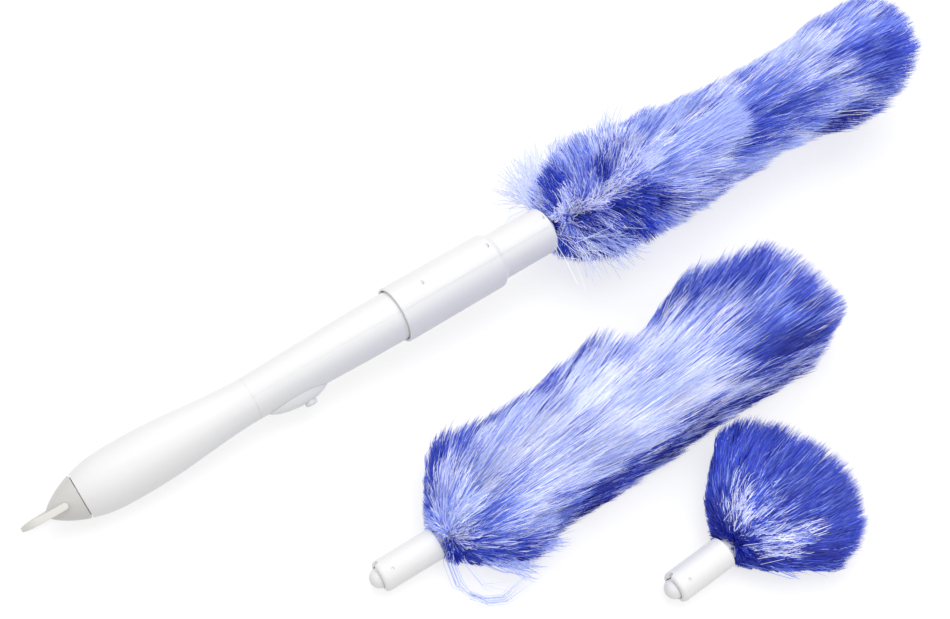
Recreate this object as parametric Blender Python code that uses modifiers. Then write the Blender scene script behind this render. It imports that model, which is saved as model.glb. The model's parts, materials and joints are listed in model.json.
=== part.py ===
"""Electric spin duster: a battery handle that spins a long fluffy head, with two spare heads beside it.

All sizes are in metres. The handle is built along its own axis, with the tail seam at zero and the
nose at the far end, and is then laid down so that its belly and its fluffy head touch the table.
Across the axis, +X is the direction of the shells' parting line and +Y is the side of the button.
"""

import math

import bmesh
import bpy
from mathutils import Matrix, Vector

# Fits between pieces
REST_GAP = 0.0003          # between two pieces that touch on the real duster
RUNNING_GAP = 0.00015      # round a shaft, a pin or a screw
PARTING_GAP = 0.0003       # between the two halves of a shell
MERGE = 0.00001            # merge distance of the turned shapes

# Facets round a turned shape
SHELL_STEPS = 28
INNER_STEPS = 20
SMALL_STEPS = 8
SHANK_STEPS = 20
GRIP_RINGS = 8
BARREL_RINGS = 6
DOME_RINGS = 3
CAP_SHARES = (1.0, 0.98, 0.90, 0.74, 0.50, 0.22, 0.02)
EAR_SHARES = (0.97, 0.85, 0.5, 0.0)
CROWN_STEPS = 6
SPRING_TURN_POINTS = 9
MAGNET_STEPS = 10
PAD_SEGMENTS = 20
PAD_RINGS = 12
DIMPLE_SEGMENTS = 8
DIMPLE_RINGS = 5
LEAD_STEPS = 2             # points in each piece of a lead's route
LEAN_STEPS = 40
PART_SMOOTH_ANGLE = math.radians(40.0)
FLUFF_SMOOTH_ANGLE = math.radians(60.0)

# Batteries: two size C cells end to end
CELL_RADIUS = 0.0131
CELL_LENGTH = 0.0500
CELL_NUB_RADIUS = 0.0033
CELL_NUB_HEIGHT = 0.0015

# Grip: the swelling tube that holds the cells
CELL_CLEARANCE = 0.0004
SEAM_WALL = 0.0017
WAIST_WALL = 0.00135
BELLY_RADIUS = 0.0195
BELLY_STATION = 0.0390
BELLY_POWER = 3.5          # how late the belly turns in towards the tail seam
SHOULDER_THICKNESS = 0.0025
SHOULDER_BORE_RADIUS = 0.0090
CONTACT_THICKNESS = 0.0006
CONTACT_RADIUS = 0.0125
SPLICE_LENGTH = 0.0045
SPLICE_WALL = 0.00225
STRIP_WIDTH = 0.0040
STRIP_THICKNESS = 0.0003

# Tail cap with its spring and its hanging loop
CAP_LENGTH = 0.0230
CAP_SIDE_POWER = 1.2       # how full the dome stays near the seam, and how blunt its end is
CAP_END_POWER = 0.7
CAP_WALL = 0.0019
SPIGOT_LENGTH = 0.0080
SPIGOT_WALL = 0.0011
LEDGE_DEPTH = 0.0030
LEDGE_WIDTH = 0.0018
HOLLOW_DEPTH = 0.0130
SPRING_WIRE_RADIUS = 0.0006
SPRING_FOOT_RADIUS = 0.0085
SPRING_TOP_RADIUS = 0.0045
SPRING_TURNS = 4
LOOP_PIVOT_DEPTH = 0.0107
LOOP_TURN = math.radians(2.0)         # the loop's pegs against the parting line of the shells
LOOP_REACH = 0.0275
LOOP_WIDTH = 0.0040
LOOP_THICKNESS = 0.0022
LOOP_CROWN = 0.0105
LOOP_PEG_RADIUS = 0.0011
LOOP_PLAY = 0.00045        # between each ear and the cap

# Barrel: two half shells between the waist and the collar
BARREL_LENGTH = 0.1125
BARREL_FRONT_RADIUS = 0.01785
BARREL_POWER = 1.2         # how slowly the barrel starts to widen
BARREL_WALL = 0.0018
SPIGOT_BORE_RADIUS = 0.0108
HOOK_DEPTH = 0.00165
HOOK_START = 0.0042
HOOK_LENGTH = 0.0020
HOOK_FLANGE = 0.0018
NECK_WALL = 0.0017

# Thumb pad, power button and switch
PAD_STATION = 0.0320       # crest of the pad, ahead of the waist seam
PAD_CREST = 0.0053         # how far the pad stands out of the barrel
PAD_HALF_WIDTH = 0.0086
PAD_REAR_LENGTH = 0.0290
PAD_FRONT_LENGTH = 0.0212
PAD_DEPTH = 0.0109
BUTTON_STATION = 0.0335    # ahead of the waist seam
BUTTON_HALF_WIDTH = 0.0032
BUTTON_HALF_LENGTH = 0.0042
BUTTON_PROUD = 0.0030
BUTTON_TRAVEL = 0.0016
BUTTON_CROWN = 0.0012
BUTTON_FLANGE = 0.0018
FLANGE_THICKNESS = 0.0012
STEM_RADIUS = 0.0015
STEM_LENGTH = 0.0062
SWITCH_WIDTH = 0.0070
SWITCH_LENGTH = 0.0100
SWITCH_HEIGHT = 0.0062
BOARD_THICKNESS = 0.0012
BOARD_HALF_LENGTH = 0.0160
BOARD_LEVEL = -0.0006
BOARD_PLAY = 0.00045
LEAD_RADIUS = 0.0006
LEAD_SPREAD = 0.0061       # each lead's place beside the axis
LEAD_ROUTE = [(0.0, 1.0, 0.0), (0.2, 1.0, 0.0), (0.5, 1.3, 0.0030), (0.8, 1.0, 0.0), (1.0, 1.0, 0.0)]

# Collar and nose: two half shells round the motor, the gears and the socket
COLLAR_RADIUS = 0.0205
COLLAR_WALL = 0.0019
COLLAR_EDGE = 0.0007
COLLAR_MOUTH_GAP = 0.0005
STEP_LENGTH = 0.0042
STEP_RUN = [(0.80, 0.65), (0.22, 0.30)]   # shares of the step's height and of its length that are left
NOSE_RADIUS = 0.0171
NOSE_WALL = 0.0018
NOSE_BEARING_LENGTH = 0.0085
RIB_HALF_LENGTH = 0.0036
SCREW_ANGLE = math.radians(32.0)
REAR_SCREW_STATION = 0.0230
FRONT_SCREW_STATION = 0.0776
NOSE_SCREW_SETBACK = 0.0027
SCREW_SHAFT_RADIUS = 0.0007
SCREW_HEAD_RADIUS = 0.00105
SCREW_HEAD_HEIGHT = 0.0012
SCREW_SEAT = 0.0050
SCREW_LENGTH = 0.0095

# Motor
MOTOR_INSET = 0.0108       # motor's tail end, ahead of the collar's rim
MOTOR_RADIUS = 0.0122
MOTOR_LENGTH = 0.0310
MOTOR_WALL = 0.0010
MOTOR_BOSS_RADIUS = 0.0040
MOTOR_BOSS_LENGTH = 0.0012
END_BELL_LENGTH = 0.0040
MAGNET_THICKNESS = 0.0020
MAGNET_LENGTH = 0.0160
MAGNET_SPAN = math.radians(116.0)
ARMATURE_RADIUS = 0.0085
ARMATURE_LENGTH = 0.0140
ARMATURE_POLES = 3
POLE_HUB_RADIUS = 0.0032
POLE_ROOT_SPAN = 0.45      # half spans of a pole, in radians: its root, its stem and its shoe
POLE_STEM_SPAN = 0.18
SHOE_SPAN = 0.84
SHOE_THICKNESS = 0.0016
SHAFT_RADIUS = 0.0010
COMMUTATOR_RADIUS = 0.0026
COMMUTATOR_LENGTH = 0.0040

# Two-stage planetary gearbox: the same tooth counts in both stages
MODULE = 0.0006
SUN_TEETH = 12
PLANET_TEETH = 12
RING_TEETH = SUN_TEETH + 2 * PLANET_TEETH
PLANETS = 3
TOOTH_TOP = 0.88           # a tooth's height above and below the pitch circle, in modules
TOOTH_ROOT = 1.15
TOP_SLOPE = 0.40           # how much each flank closes in above and below the pitch circle
ROOT_SLOPE = 0.30
GEAR_WIDTH = 0.0060
GEAR_GAP = 0.0004
TOOTH_BACKLASH = 0.00016
RING_WALL = 0.0017
PLATE_THICKNESS = 0.0015
CARRIER_THICKNESS = 0.0018
CARRIER_RIM = 0.0014
PLANET_PIN_RADIUS = 0.0009
SUN_STUB_RADIUS = 0.0012
SPINDLE_RADIUS = 0.0030

# Drive socket
HUB_RADIUS = 0.0074
HUB_LENGTH = 0.0115
WEB_THICKNESS = 0.0015
SOCKET_WALL = 0.0018
SOCKET_SETBACK = 0.0012
BUSHING_LENGTH = 0.0062
HUB_OVERHANG = 0.0045      # the hub reaches this far behind its bushing
LUG_WIDTH = 0.0024
LUG_HEIGHT = 0.0022
GRIP_RING_SETBACK = 0.0090
GRIP_RING_WIDTH = 0.0016

# Heads: a shank that plugs into the socket, a core rod and the fluff on it
SHANK_RADIUS = 0.0100
SHANK_LENGTH = 0.0400
SHANK_CLEARANCE = 0.0003
SHANK_INSET = 0.0035       # the shank's end, ahead of the collar's front end
SHANK_CHAMFER = 0.0028
SHANK_END_RADIUS = 0.0082
FERRULE_RADIUS = 0.0064
FERRULE_LENGTH = 0.0060
DOME_RADIUS = 0.0062
DOME_HEIGHT = 0.0060
DOME_RECESS = 0.0065
DOME_GROOVE = 0.0008
NOTCH_WIDTH = 0.0032
NOTCH_DEPTH = 0.0026
DIMPLE_RADIUS = 0.0012
DIMPLE_STATION = 0.0078
CORE_RADIUS = 0.0025
DIMPLE_TURN = math.radians(80.0)           # from the notch, seen from the shank's end
LOOSE_NOTCH_TURN = math.radians(-40.0)     # how the loose heads' notches lie, against the upper side
SLEEVE_WALL = 0.0030
FLAT_DEPTH = 0.0005        # how deep the fluff is cut flat where it lies on the table
TABLE_REACH = 1.0

# Fluff: strands in rings along a sleeve, and the reach of each head's fluff beyond its shank
HEAD_STRANDS = 8
FAN_STRANDS = 10
MOUNTED_RINGS = 18
MEDIUM_RINGS = 16
FAN_RINGS = 8
MOUNTED_SLEEVE = 0.3450
MEDIUM_SLEEVE = 0.3020
SMALL_SLEEVE = 0.0560
TIP_START = 0.016          # first and last tips, measured along the reach from its two ends
TIP_STOP = 0.007
SWELL_OUT = 0.60
SWELL_ALONG = 0.45
HEAD_FILL = 0.72
FAN_FILL = 0.52
SWELL_SHARE = 0.38
SWELL_WIDTH = 0.0180
SWELL_THICKNESS = 0.0100
MOUNTED_FORM = [(0.0, 0.016), (0.008, 0.030), (0.030, 0.043), (0.060, 0.046), (0.100, 0.044),
                (0.160, 0.0395), (0.220, 0.0385), (0.260, 0.041), (0.310, 0.045), (0.345, 0.044),
                (0.362, 0.036), (0.374, 0.022), (0.380, 0.005)]
MEDIUM_FORM = [(0.001, 0.014), (0.014, 0.033), (0.034, 0.044), (0.064, 0.0475), (0.114, 0.0475),
               (0.174, 0.0465), (0.224, 0.0465), (0.264, 0.0475), (0.294, 0.0465), (0.312, 0.040),
               (0.326, 0.025), (0.339, 0.008)]
FAN_WIDTH_FORM = [(0.0, 0.012), (0.014, 0.028), (0.034, 0.038), (0.054, 0.0445), (0.074, 0.0495),
                  (0.089, 0.0505), (0.100, 0.044), (0.106, 0.030)]
FAN_HEIGHT_FORM = [(0.0, 0.010), (0.014, 0.018), (0.044, 0.024), (0.074, 0.026), (0.106, 0.018)]

# Places on the table, measured from the handle's tail seam
BUTTON_DROP = math.radians(34.0)      # the button faces this far below level, on the near side
MEDIUM_PLACE = (0.1200, -0.1452)
MEDIUM_TURN = math.radians(-2.7)
MEDIUM_TILT = math.radians(3.4)
SMALL_PLACE = (0.2600, -0.2522)
SMALL_TURN = math.radians(-1.2)
SMALL_TILT = math.radians(5.5)

# Stations along the handle's axis, worked out from the stack of pieces inside
BORE_RADIUS = CELL_RADIUS + CELL_CLEARANCE
SEAM_RADIUS = BORE_RADIUS + SEAM_WALL
WAIST_RADIUS = BORE_RADIUS + WAIST_WALL
REAR_CELL = SPIGOT_LENGTH + REST_GAP
FRONT_CELL = REAR_CELL + CELL_LENGTH + REST_GAP
CONTACT_STATION = FRONT_CELL + CELL_LENGTH + REST_GAP
SHOULDER_STATION = CONTACT_STATION + CONTACT_THICKNESS + REST_GAP
SPLICE_STATION = SHOULDER_STATION + SHOULDER_THICKNESS
WAIST_STATION = SPLICE_STATION + SPLICE_LENGTH
BARREL_START = WAIST_STATION + REST_GAP
COLLAR_START = WAIST_STATION + BARREL_LENGTH
SPLICE_RADIUS = WAIST_RADIUS - SPLICE_WALL

MOTOR_START = COLLAR_START + MOTOR_INSET
MOTOR_END = MOTOR_START + MOTOR_LENGTH
PLATE_START = MOTOR_END + REST_GAP
RING_START = PLATE_START + PLATE_THICKNESS + REST_GAP
STAGE_LENGTH = GEAR_GAP + GEAR_WIDTH + GEAR_GAP + CARRIER_THICKNESS
RING_END = RING_START + 2 * STAGE_LENGTH
BUSHING_START = COLLAR_START + FRONT_SCREW_STATION - BUSHING_LENGTH / 2
HUB_START = BUSHING_START - HUB_OVERHANG
CUP_START = HUB_START + HUB_LENGTH
DOME_FLOOR = CUP_START + WEB_THICKNESS
SOCKET_FLOOR_STATION = DOME_FLOOR + DOME_HEIGHT
SHANK_END = SOCKET_FLOOR_STATION + REST_GAP
COLLAR_END = SHANK_END - SHANK_INSET
NOSE_END = SHANK_END + SHANK_LENGTH
SOCKET_END = NOSE_END - SOCKET_SETBACK
SOCKET_BORE_RADIUS = SHANK_RADIUS + SHANK_CLEARANCE
SOCKET_RADIUS = SOCKET_BORE_RADIUS + SOCKET_WALL
NOSE_BEARING_RADIUS = SOCKET_RADIUS + REST_GAP

# Radii inside the collar
CAVITY_RADIUS = COLLAR_RADIUS - COLLAR_WALL
RING_PITCH_RADIUS = MODULE * RING_TEETH / 2
RING_OUTER_RADIUS = RING_PITCH_RADIUS + MODULE * TOOTH_ROOT + RING_WALL
PLANET_ORBIT = MODULE * (SUN_TEETH + PLANET_TEETH) / 2
MOTOR_SEAT_RADIUS = MOTOR_RADIUS + REST_GAP
GEAR_SEAT_RADIUS = RING_OUTER_RADIUS + REST_GAP

# Finishes: colour, roughness, metallic
WHITE_PLASTIC = ("white_plastic", (0.86, 0.86, 0.86), 0.32, 0.0)
CAP_PLASTIC = ("cap_plastic", (0.74, 0.73, 0.70), 0.40, 0.0)
LOOP_PLASTIC = ("loop_plastic", (0.84, 0.83, 0.79), 0.35, 0.0)
BUTTON_PLASTIC = ("button_plastic", (0.80, 0.80, 0.80), 0.18, 0.0)
GEAR_PLASTIC = ("gear_plastic", (0.90, 0.88, 0.80), 0.45, 0.0)
DARK_PLASTIC = ("dark_plastic", (0.04, 0.04, 0.05), 0.50, 0.0)
BOARD_GREEN = ("board_green", (0.03, 0.22, 0.10), 0.45, 0.0)
RED_SLEEVE = ("red_sleeve", (0.55, 0.03, 0.03), 0.50, 0.0)
CELL_JACKET = ("cell_jacket", (0.12, 0.13, 0.15), 0.30, 0.6)
STEEL = ("steel", (0.62, 0.62, 0.64), 0.28, 1.0)
BRASS = ("brass", (0.78, 0.60, 0.28), 0.30, 1.0)
COPPER = ("copper", (0.75, 0.38, 0.22), 0.35, 1.0)
FERRITE = ("ferrite", (0.05, 0.05, 0.05), 0.70, 0.0)
RUBBER = ("rubber", (0.03, 0.03, 0.03), 0.80, 0.0)
PALE_FLUFF = ("pale_fluff", (0.60, 0.66, 0.95), 0.85, 0.0)
MIXED_FLUFF = ("mixed_fluff", (0.36, 0.43, 0.88), 0.85, 0.0)
ROYAL_FLUFF = ("royal_fluff", (0.06, 0.09, 0.55), 0.85, 0.0)

TURN_TO = {"X": (0.0, math.pi / 2, 0.0), "Y": (-math.pi / 2, 0.0, 0.0), "Z": (0.0, 0.0, 0.0)}


# Scene, materials and placing
def clear_scene():
    for obj in list(bpy.data.objects):
        bpy.data.objects.remove(obj, do_unlink=True)


def new_collection(name):
    group = bpy.data.collections.new(name)
    bpy.context.scene.collection.children.link(group)
    return group


def finish_material(name, finish):
    """A Principled material of its own for one piece."""
    _, colour, roughness, metallic = finish
    material = bpy.data.materials.new(name + "_" + finish[0])
    material.use_nodes = True
    shader = material.node_tree.nodes["Principled BSDF"]
    shader.inputs["Base Color"].default_value = (*colour, 1.0)
    shader.inputs["Roughness"].default_value = roughness
    shader.inputs["Metallic"].default_value = metallic
    material.diffuse_color = (*colour, 1.0)
    return material


def new_piece(name, data, parent, finish=None, location=(0.0, 0.0, 0.0), turn=(0.0, 0.0, 0.0)):
    """Links an object as a part, or as a cutter when it has no finish."""
    obj = bpy.data.objects.new(name, data)
    obj.parent = parent
    obj.location = location
    obj.rotation_euler = turn
    if finish is None:
        CUTTERS.objects.link(obj)
        obj.hide_render = True
        obj.display_type = "WIRE"
    else:
        PARTS.objects.link(obj)
        data.materials.append(finish_material(name, finish))
    return obj


def new_axis(name, parent, matrix):
    """An empty that carries the pieces of one axis."""
    axis = bpy.data.objects.new(name, None)
    PARTS.objects.link(axis)
    axis.parent = parent
    axis.matrix_basis = matrix
    axis.empty_display_size = 0.02
    return axis


def mesh_from(name, bm, smooth_below=PART_SMOOTH_ANGLE):
    """Turns a bmesh into a mesh that is shaded smooth below an angle."""
    bmesh.ops.recalc_face_normals(bm, faces=bm.faces)
    mesh = bpy.data.meshes.new(name)
    bm.to_mesh(mesh)
    bm.free()
    mesh.shade_smooth()
    mesh.set_sharp_from_angle(angle=smooth_below)
    return mesh


# Shapes
def turned(name, section, parent, finish=None, steps=SHELL_STEPS, location=(0.0, 0.0, 0.0), axis="Z"):
    """A section (radius, station) turned about Z; a solid one starts and ends on the axis."""
    on_axis = section[0][0] == 0.0
    mesh = bpy.data.meshes.new(name)
    points = [(radius, 0.0, station) for radius, station in section]
    edges = [(i, i + 1) for i in range(len(points) - 1)]
    if not on_axis:
        edges.append((len(points) - 1, 0))
    mesh.from_pydata(points, edges, [])
    obj = new_piece(name, mesh, parent, finish, location, TURN_TO[axis])
    screw = obj.modifiers.new("turn", "SCREW")
    screw.axis = "Z"
    screw.steps = steps
    screw.render_steps = steps
    screw.use_merge_vertices = True
    screw.merge_threshold = MERGE
    screw.use_smooth_shade = True
    return obj


def wall(outer, inner):
    """A hollow section from its outer and inner sides, both given from tail to nose."""
    return list(reversed(outer)) + list(inner)


def solid(outer):
    """A solid section from its outer side, given from tail to nose."""
    return [(0.0, outer[-1][1])] + list(reversed(outer)) + [(0.0, outer[0][1])]


def rod(name, radius, low, high, parent, finish=None, location=(0.0, 0.0, 0.0), axis="Z",
        steps=SMALL_STEPS, stretch=1.0):
    """A straight rod from low to high along an axis; stretch makes it oval."""
    bm = bmesh.new()
    bmesh.ops.create_cone(bm, cap_ends=True, segments=steps, radius1=radius, radius2=radius,
                          depth=high - low)
    for vert in bm.verts:
        vert.co.y *= stretch
        vert.co.z += (low + high) / 2
    return new_piece(name, mesh_from(name, bm), parent, finish, location, TURN_TO[axis])


def block(name, low, high, parent, finish=None):
    """A box between two corners."""
    bm = bmesh.new()
    size = Vector(high) - Vector(low)
    middle = (Vector(high) + Vector(low)) / 2
    matrix = Matrix.Translation(middle) @ Matrix.Diagonal((*size, 1.0))
    bmesh.ops.create_cube(bm, size=1.0, matrix=matrix)
    return new_piece(name, mesh_from(name, bm), parent, finish)


def plate(name, outlines, thickness, parent, finish, location=(0.0, 0.0, 0.0)):
    """A flat outline, with any holes in it, given its thickness upwards from its place."""
    curve = bpy.data.curves.new(name, "CURVE")
    curve.dimensions = "2D"
    curve.fill_mode = "BOTH"
    curve.extrude = thickness / 2
    for outline in outlines:
        spline = curve.splines.new("POLY")
        spline.points.add(len(outline) - 1)
        for point, (x, y) in zip(spline.points, outline):
            point.co = (x, y, 0.0, 1.0)
        spline.use_cyclic_u = True
    x, y, z = location
    return new_piece(name, curve, parent, finish, (x, y, z + thickness / 2))


def wire(name, points, radius, parent, finish, location=(0.0, 0.0, 0.0)):
    """A round wire through points, with closed ends."""
    curve = bpy.data.curves.new(name, "CURVE")
    curve.dimensions = "3D"
    curve.bevel_depth = radius
    curve.bevel_resolution = 1
    curve.use_fill_caps = True
    spline = curve.splines.new("POLY")
    spline.points.add(len(points) - 1)
    for point, co in zip(spline.points, points):
        point.co = (*co, 1.0)
    return new_piece(name, curve, parent, finish, location)


def circle(radius, steps, x=0.0, y=0.0):
    return [
        (x + radius * math.cos(2 * math.pi * i / steps), y + radius * math.sin(2 * math.pi * i / steps))
        for i in range(steps)
    ]


def through(points, steps):
    """A smooth run of points through a few chosen ones."""
    ends = [points[0]] + list(points) + [points[-1]]
    run = []
    for i in range(1, len(ends) - 2):
        a, b, c, d = (Vector(p) for p in ends[i - 1:i + 3])
        for k in range(steps):
            t = k / steps
            run.append(0.5 * (2 * b + (c - a) * t + (2 * a - 5 * b + 4 * c - d) * t ** 2
                              + (3 * b - a - 3 * c + d) * t ** 3))
    return run + [Vector(points[-1])]


def shape_by(obj, tool, how="DIFFERENCE"):
    """Cuts, or joins, an object by a tool object."""
    change = obj.modifiers.new(how.lower(), "BOOLEAN")
    change.operation = how
    change.object = tool


def read_line(points, at):
    """Height of a run of straight lines through (place, height) points at a place."""
    if at <= points[0][0]:
        return points[0][1]
    for (a, low), (b, high) in zip(points, points[1:]):
        if at <= b:
            return low + (high - low) * (at - a) / (b - a)
    return points[-1][1]


# Outer form of the handle
def cap_radius(depth):
    """Radius of the tail cap at a depth behind the seam."""
    share = min(depth / CAP_LENGTH, 1.0)
    return SEAM_RADIUS * (1.0 - share ** CAP_SIDE_POWER) ** CAP_END_POWER


def grip_radius(station):
    """Radius of the grip: a full belly that narrows to the waist."""
    if station < BELLY_STATION:
        share = (BELLY_STATION - station) / BELLY_STATION
        return BELLY_RADIUS - (BELLY_RADIUS - SEAM_RADIUS) * share ** BELLY_POWER
    share = (station - BELLY_STATION) / (WAIST_STATION - BELLY_STATION)
    return WAIST_RADIUS + (BELLY_RADIUS - WAIST_RADIUS) * (0.5 + 0.5 * math.cos(math.pi * share))


def barrel_radius(station):
    """Radius of the barrel, growing from the waist to the collar."""
    share = min(max((station - WAIST_STATION) / BARREL_LENGTH, 0.0), 1.0)
    growth = math.sin(math.pi / 2 * share) ** BARREL_POWER
    return WAIST_RADIUS + (BARREL_FRONT_RADIUS - WAIST_RADIUS) * growth


def run_of(form, low, high, steps):
    """Points (radius, station) of a form between two stations."""
    stations = [low + (high - low) * i / steps for i in range(steps + 1)]
    return [(form(station), station) for station in stations]


# Tail cap
def make_tail_cap(handle, pivot):
    dome = [(cap_radius(CAP_LENGTH * share), -CAP_LENGTH * share) for share in CAP_SHARES]
    spigot = BORE_RADIUS - REST_GAP
    bore = spigot - SPIGOT_WALL
    outer = dome + [(spigot, -REST_GAP), (spigot, SPIGOT_LENGTH)]
    ledge = bore - LEDGE_WIDTH
    inner = [
        (0.0, -HOLLOW_DEPTH),
        (ledge / 2, -HOLLOW_DEPTH),
        (ledge, -HOLLOW_DEPTH + ledge / 2),
        (ledge, -LEDGE_DEPTH),
        (bore, -LEDGE_DEPTH),
        (bore, SPIGOT_LENGTH),
    ]
    cap = turned("tail_cap", inner + list(reversed(outer)), handle, CAP_PLASTIC)
    hole_end = peg_end() - REST_GAP
    for label, low, high in (("left", -SEAM_RADIUS, -hole_end), ("right", hole_end, SEAM_RADIUS)):
        hole = rod("peg_hole_" + label, LOOP_PEG_RADIUS + RUNNING_GAP, low, high, pivot, axis="X")
        shape_by(cap, hole)

    contact_radius = bore - REST_GAP
    turned("tail_contact", solid([(contact_radius, -LEDGE_DEPTH + REST_GAP),
                                  (contact_radius, -LEDGE_DEPTH + REST_GAP + CONTACT_THICKNESS)]),
           handle, STEEL, INNER_STEPS)
    foot = -LEDGE_DEPTH + REST_GAP + CONTACT_THICKNESS + REST_GAP + SPRING_WIRE_RADIUS
    top = REAR_CELL - REST_GAP - SPRING_WIRE_RADIUS
    count = SPRING_TURNS * SPRING_TURN_POINTS
    coil = []
    for i in range(count + 1):
        share = i / count
        radius = SPRING_FOOT_RADIUS + (SPRING_TOP_RADIUS - SPRING_FOOT_RADIUS) * share
        angle = 2 * math.pi * i / SPRING_TURN_POINTS
        coil.append((radius * math.cos(angle), radius * math.sin(angle), foot + (top - foot) * share))
    wire("tail_spring", coil, SPRING_WIRE_RADIUS, handle, STEEL)
    pitch = (top - foot) / SPRING_TURNS
    step_in = (SPRING_FOOT_RADIUS - SPRING_TOP_RADIUS) / SPRING_TURNS
    print("tail_spring gap between turns", round(math.hypot(pitch, step_in) - 2 * SPRING_WIRE_RADIUS, 5))


def peg_end():
    """How far from the axis the pegs of the hanging loop end, inside the cap."""
    return cap_radius(LOOP_PIVOT_DEPTH) - CAP_WALL


def make_hang_loop(pivot):
    """A flat strap bent to a U, with an inward peg in each rounded ear."""
    half_gap = cap_radius(LOOP_PIVOT_DEPTH - LOOP_WIDTH / 2) + LOOP_PLAY + LOOP_THICKNESS / 2
    half_width = LOOP_WIDTH / 2
    leg = LOOP_REACH - LOOP_THICKNESS / 2 - LOOP_CROWN
    side = []
    for share in EAR_SHARES:
        side.append((half_gap, half_width * share, half_width * math.sqrt(1.0 - share ** 2)))
    side.append((half_gap, -leg / 2, half_width))
    for i in range(CROWN_STEPS + 1):
        angle = math.pi / 2 * i / CROWN_STEPS
        side.append((half_gap * math.cos(angle), -leg - LOOP_CROWN * math.sin(angle), half_width))
    path = side + [(-x, z, wide) for x, z, wide in reversed(side[:-1])]
    bm = bmesh.new()
    rails = [[bm.verts.new((x, wide * sign, z)) for x, z, wide in path] for sign in (-1.0, 1.0)]
    for i in range(len(path) - 1):
        bm.faces.new((rails[0][i], rails[0][i + 1], rails[1][i + 1], rails[1][i]))
    loop = new_piece("hang_loop", mesh_from("hang_loop", bm), pivot, LOOP_PLASTIC)
    thicken = loop.modifiers.new("thickness", "SOLIDIFY")
    thicken.thickness = LOOP_THICKNESS
    thicken.offset = 0.0
    for label, low, high in (("left", -half_gap, -peg_end()), ("right", peg_end(), half_gap)):
        peg = rod("loop_peg_" + label, LOOP_PEG_RADIUS, low, high, pivot, axis="X")
        shape_by(loop, peg, "UNION")


# Grip with the cells
def make_grip(handle):
    outer = run_of(grip_radius, 0.0, WAIST_STATION, GRIP_RINGS)
    inner = [
        (BORE_RADIUS, 0.0),
        (BORE_RADIUS, SHOULDER_STATION),
        (SHOULDER_BORE_RADIUS, SHOULDER_STATION),
        (SHOULDER_BORE_RADIUS, SPLICE_STATION),
        (SPLICE_RADIUS + REST_GAP, SPLICE_STATION),
        (SPLICE_RADIUS + REST_GAP, WAIST_STATION),
    ]
    grip = turned("grip_shell", wall(outer, inner), handle, WHITE_PLASTIC)
    strip_low = BORE_RADIUS + RUNNING_GAP
    strip_high = strip_low + STRIP_THICKNESS
    slot = block("strip_slot", (-STRIP_WIDTH / 2 - REST_GAP, -strip_high - RUNNING_GAP, -REST_GAP),
                 (STRIP_WIDTH / 2 + REST_GAP, -CELL_RADIUS, SHOULDER_STATION - REST_GAP), handle)
    shape_by(grip, slot)
    block("return_strip", (-STRIP_WIDTH / 2, -strip_high, REST_GAP),
          (STRIP_WIDTH / 2, -strip_low, SHOULDER_STATION - 2 * REST_GAP), handle, BRASS)

    body_end = CELL_LENGTH - CELL_NUB_HEIGHT
    cell = solid([(CELL_RADIUS, 0.0), (CELL_RADIUS, body_end), (CELL_NUB_RADIUS, body_end),
                  (CELL_NUB_RADIUS, CELL_LENGTH)])
    turned("battery_rear", cell, handle, CELL_JACKET, INNER_STEPS, (0.0, 0.0, REAR_CELL))
    turned("battery_front", cell, handle, CELL_JACKET, INNER_STEPS, (0.0, 0.0, FRONT_CELL))
    turned("front_contact", solid([(CONTACT_RADIUS, 0.0), (CONTACT_RADIUS, CONTACT_THICKNESS)]), handle,
           BRASS, INNER_STEPS, (0.0, 0.0, CONTACT_STATION))


# Barrel with the pad, the button and the switch
def barrel_section():
    spigot = SPLICE_RADIUS
    hook = COLLAR_START + HOOK_START
    groove = BARREL_FRONT_RADIUS - HOOK_DEPTH
    outer = [(spigot, SPLICE_STATION + REST_GAP), (spigot, BARREL_START)]
    outer += run_of(barrel_radius, BARREL_START, COLLAR_START, BARREL_RINGS)
    outer += [
        (BARREL_FRONT_RADIUS, hook),
        (groove, hook),
        (groove, hook + HOOK_LENGTH),
        (BARREL_FRONT_RADIUS, hook + HOOK_LENGTH),
        (BARREL_FRONT_RADIUS, hook + HOOK_LENGTH + HOOK_FLANGE),
    ]
    neck = groove - NECK_WALL
    step = BARREL_START + BARREL_WALL
    inner = [(SPIGOT_BORE_RADIUS, SPLICE_STATION + REST_GAP), (SPIGOT_BORE_RADIUS, step)]
    inner += [(radius - BARREL_WALL, station) for radius, station
              in run_of(barrel_radius, step, COLLAR_START - HOOK_FLANGE, BARREL_RINGS // 2)]
    inner += [(neck, COLLAR_START - HOOK_FLANGE), (neck, hook + HOOK_LENGTH + HOOK_FLANGE)]
    return wall(outer, inner)


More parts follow.
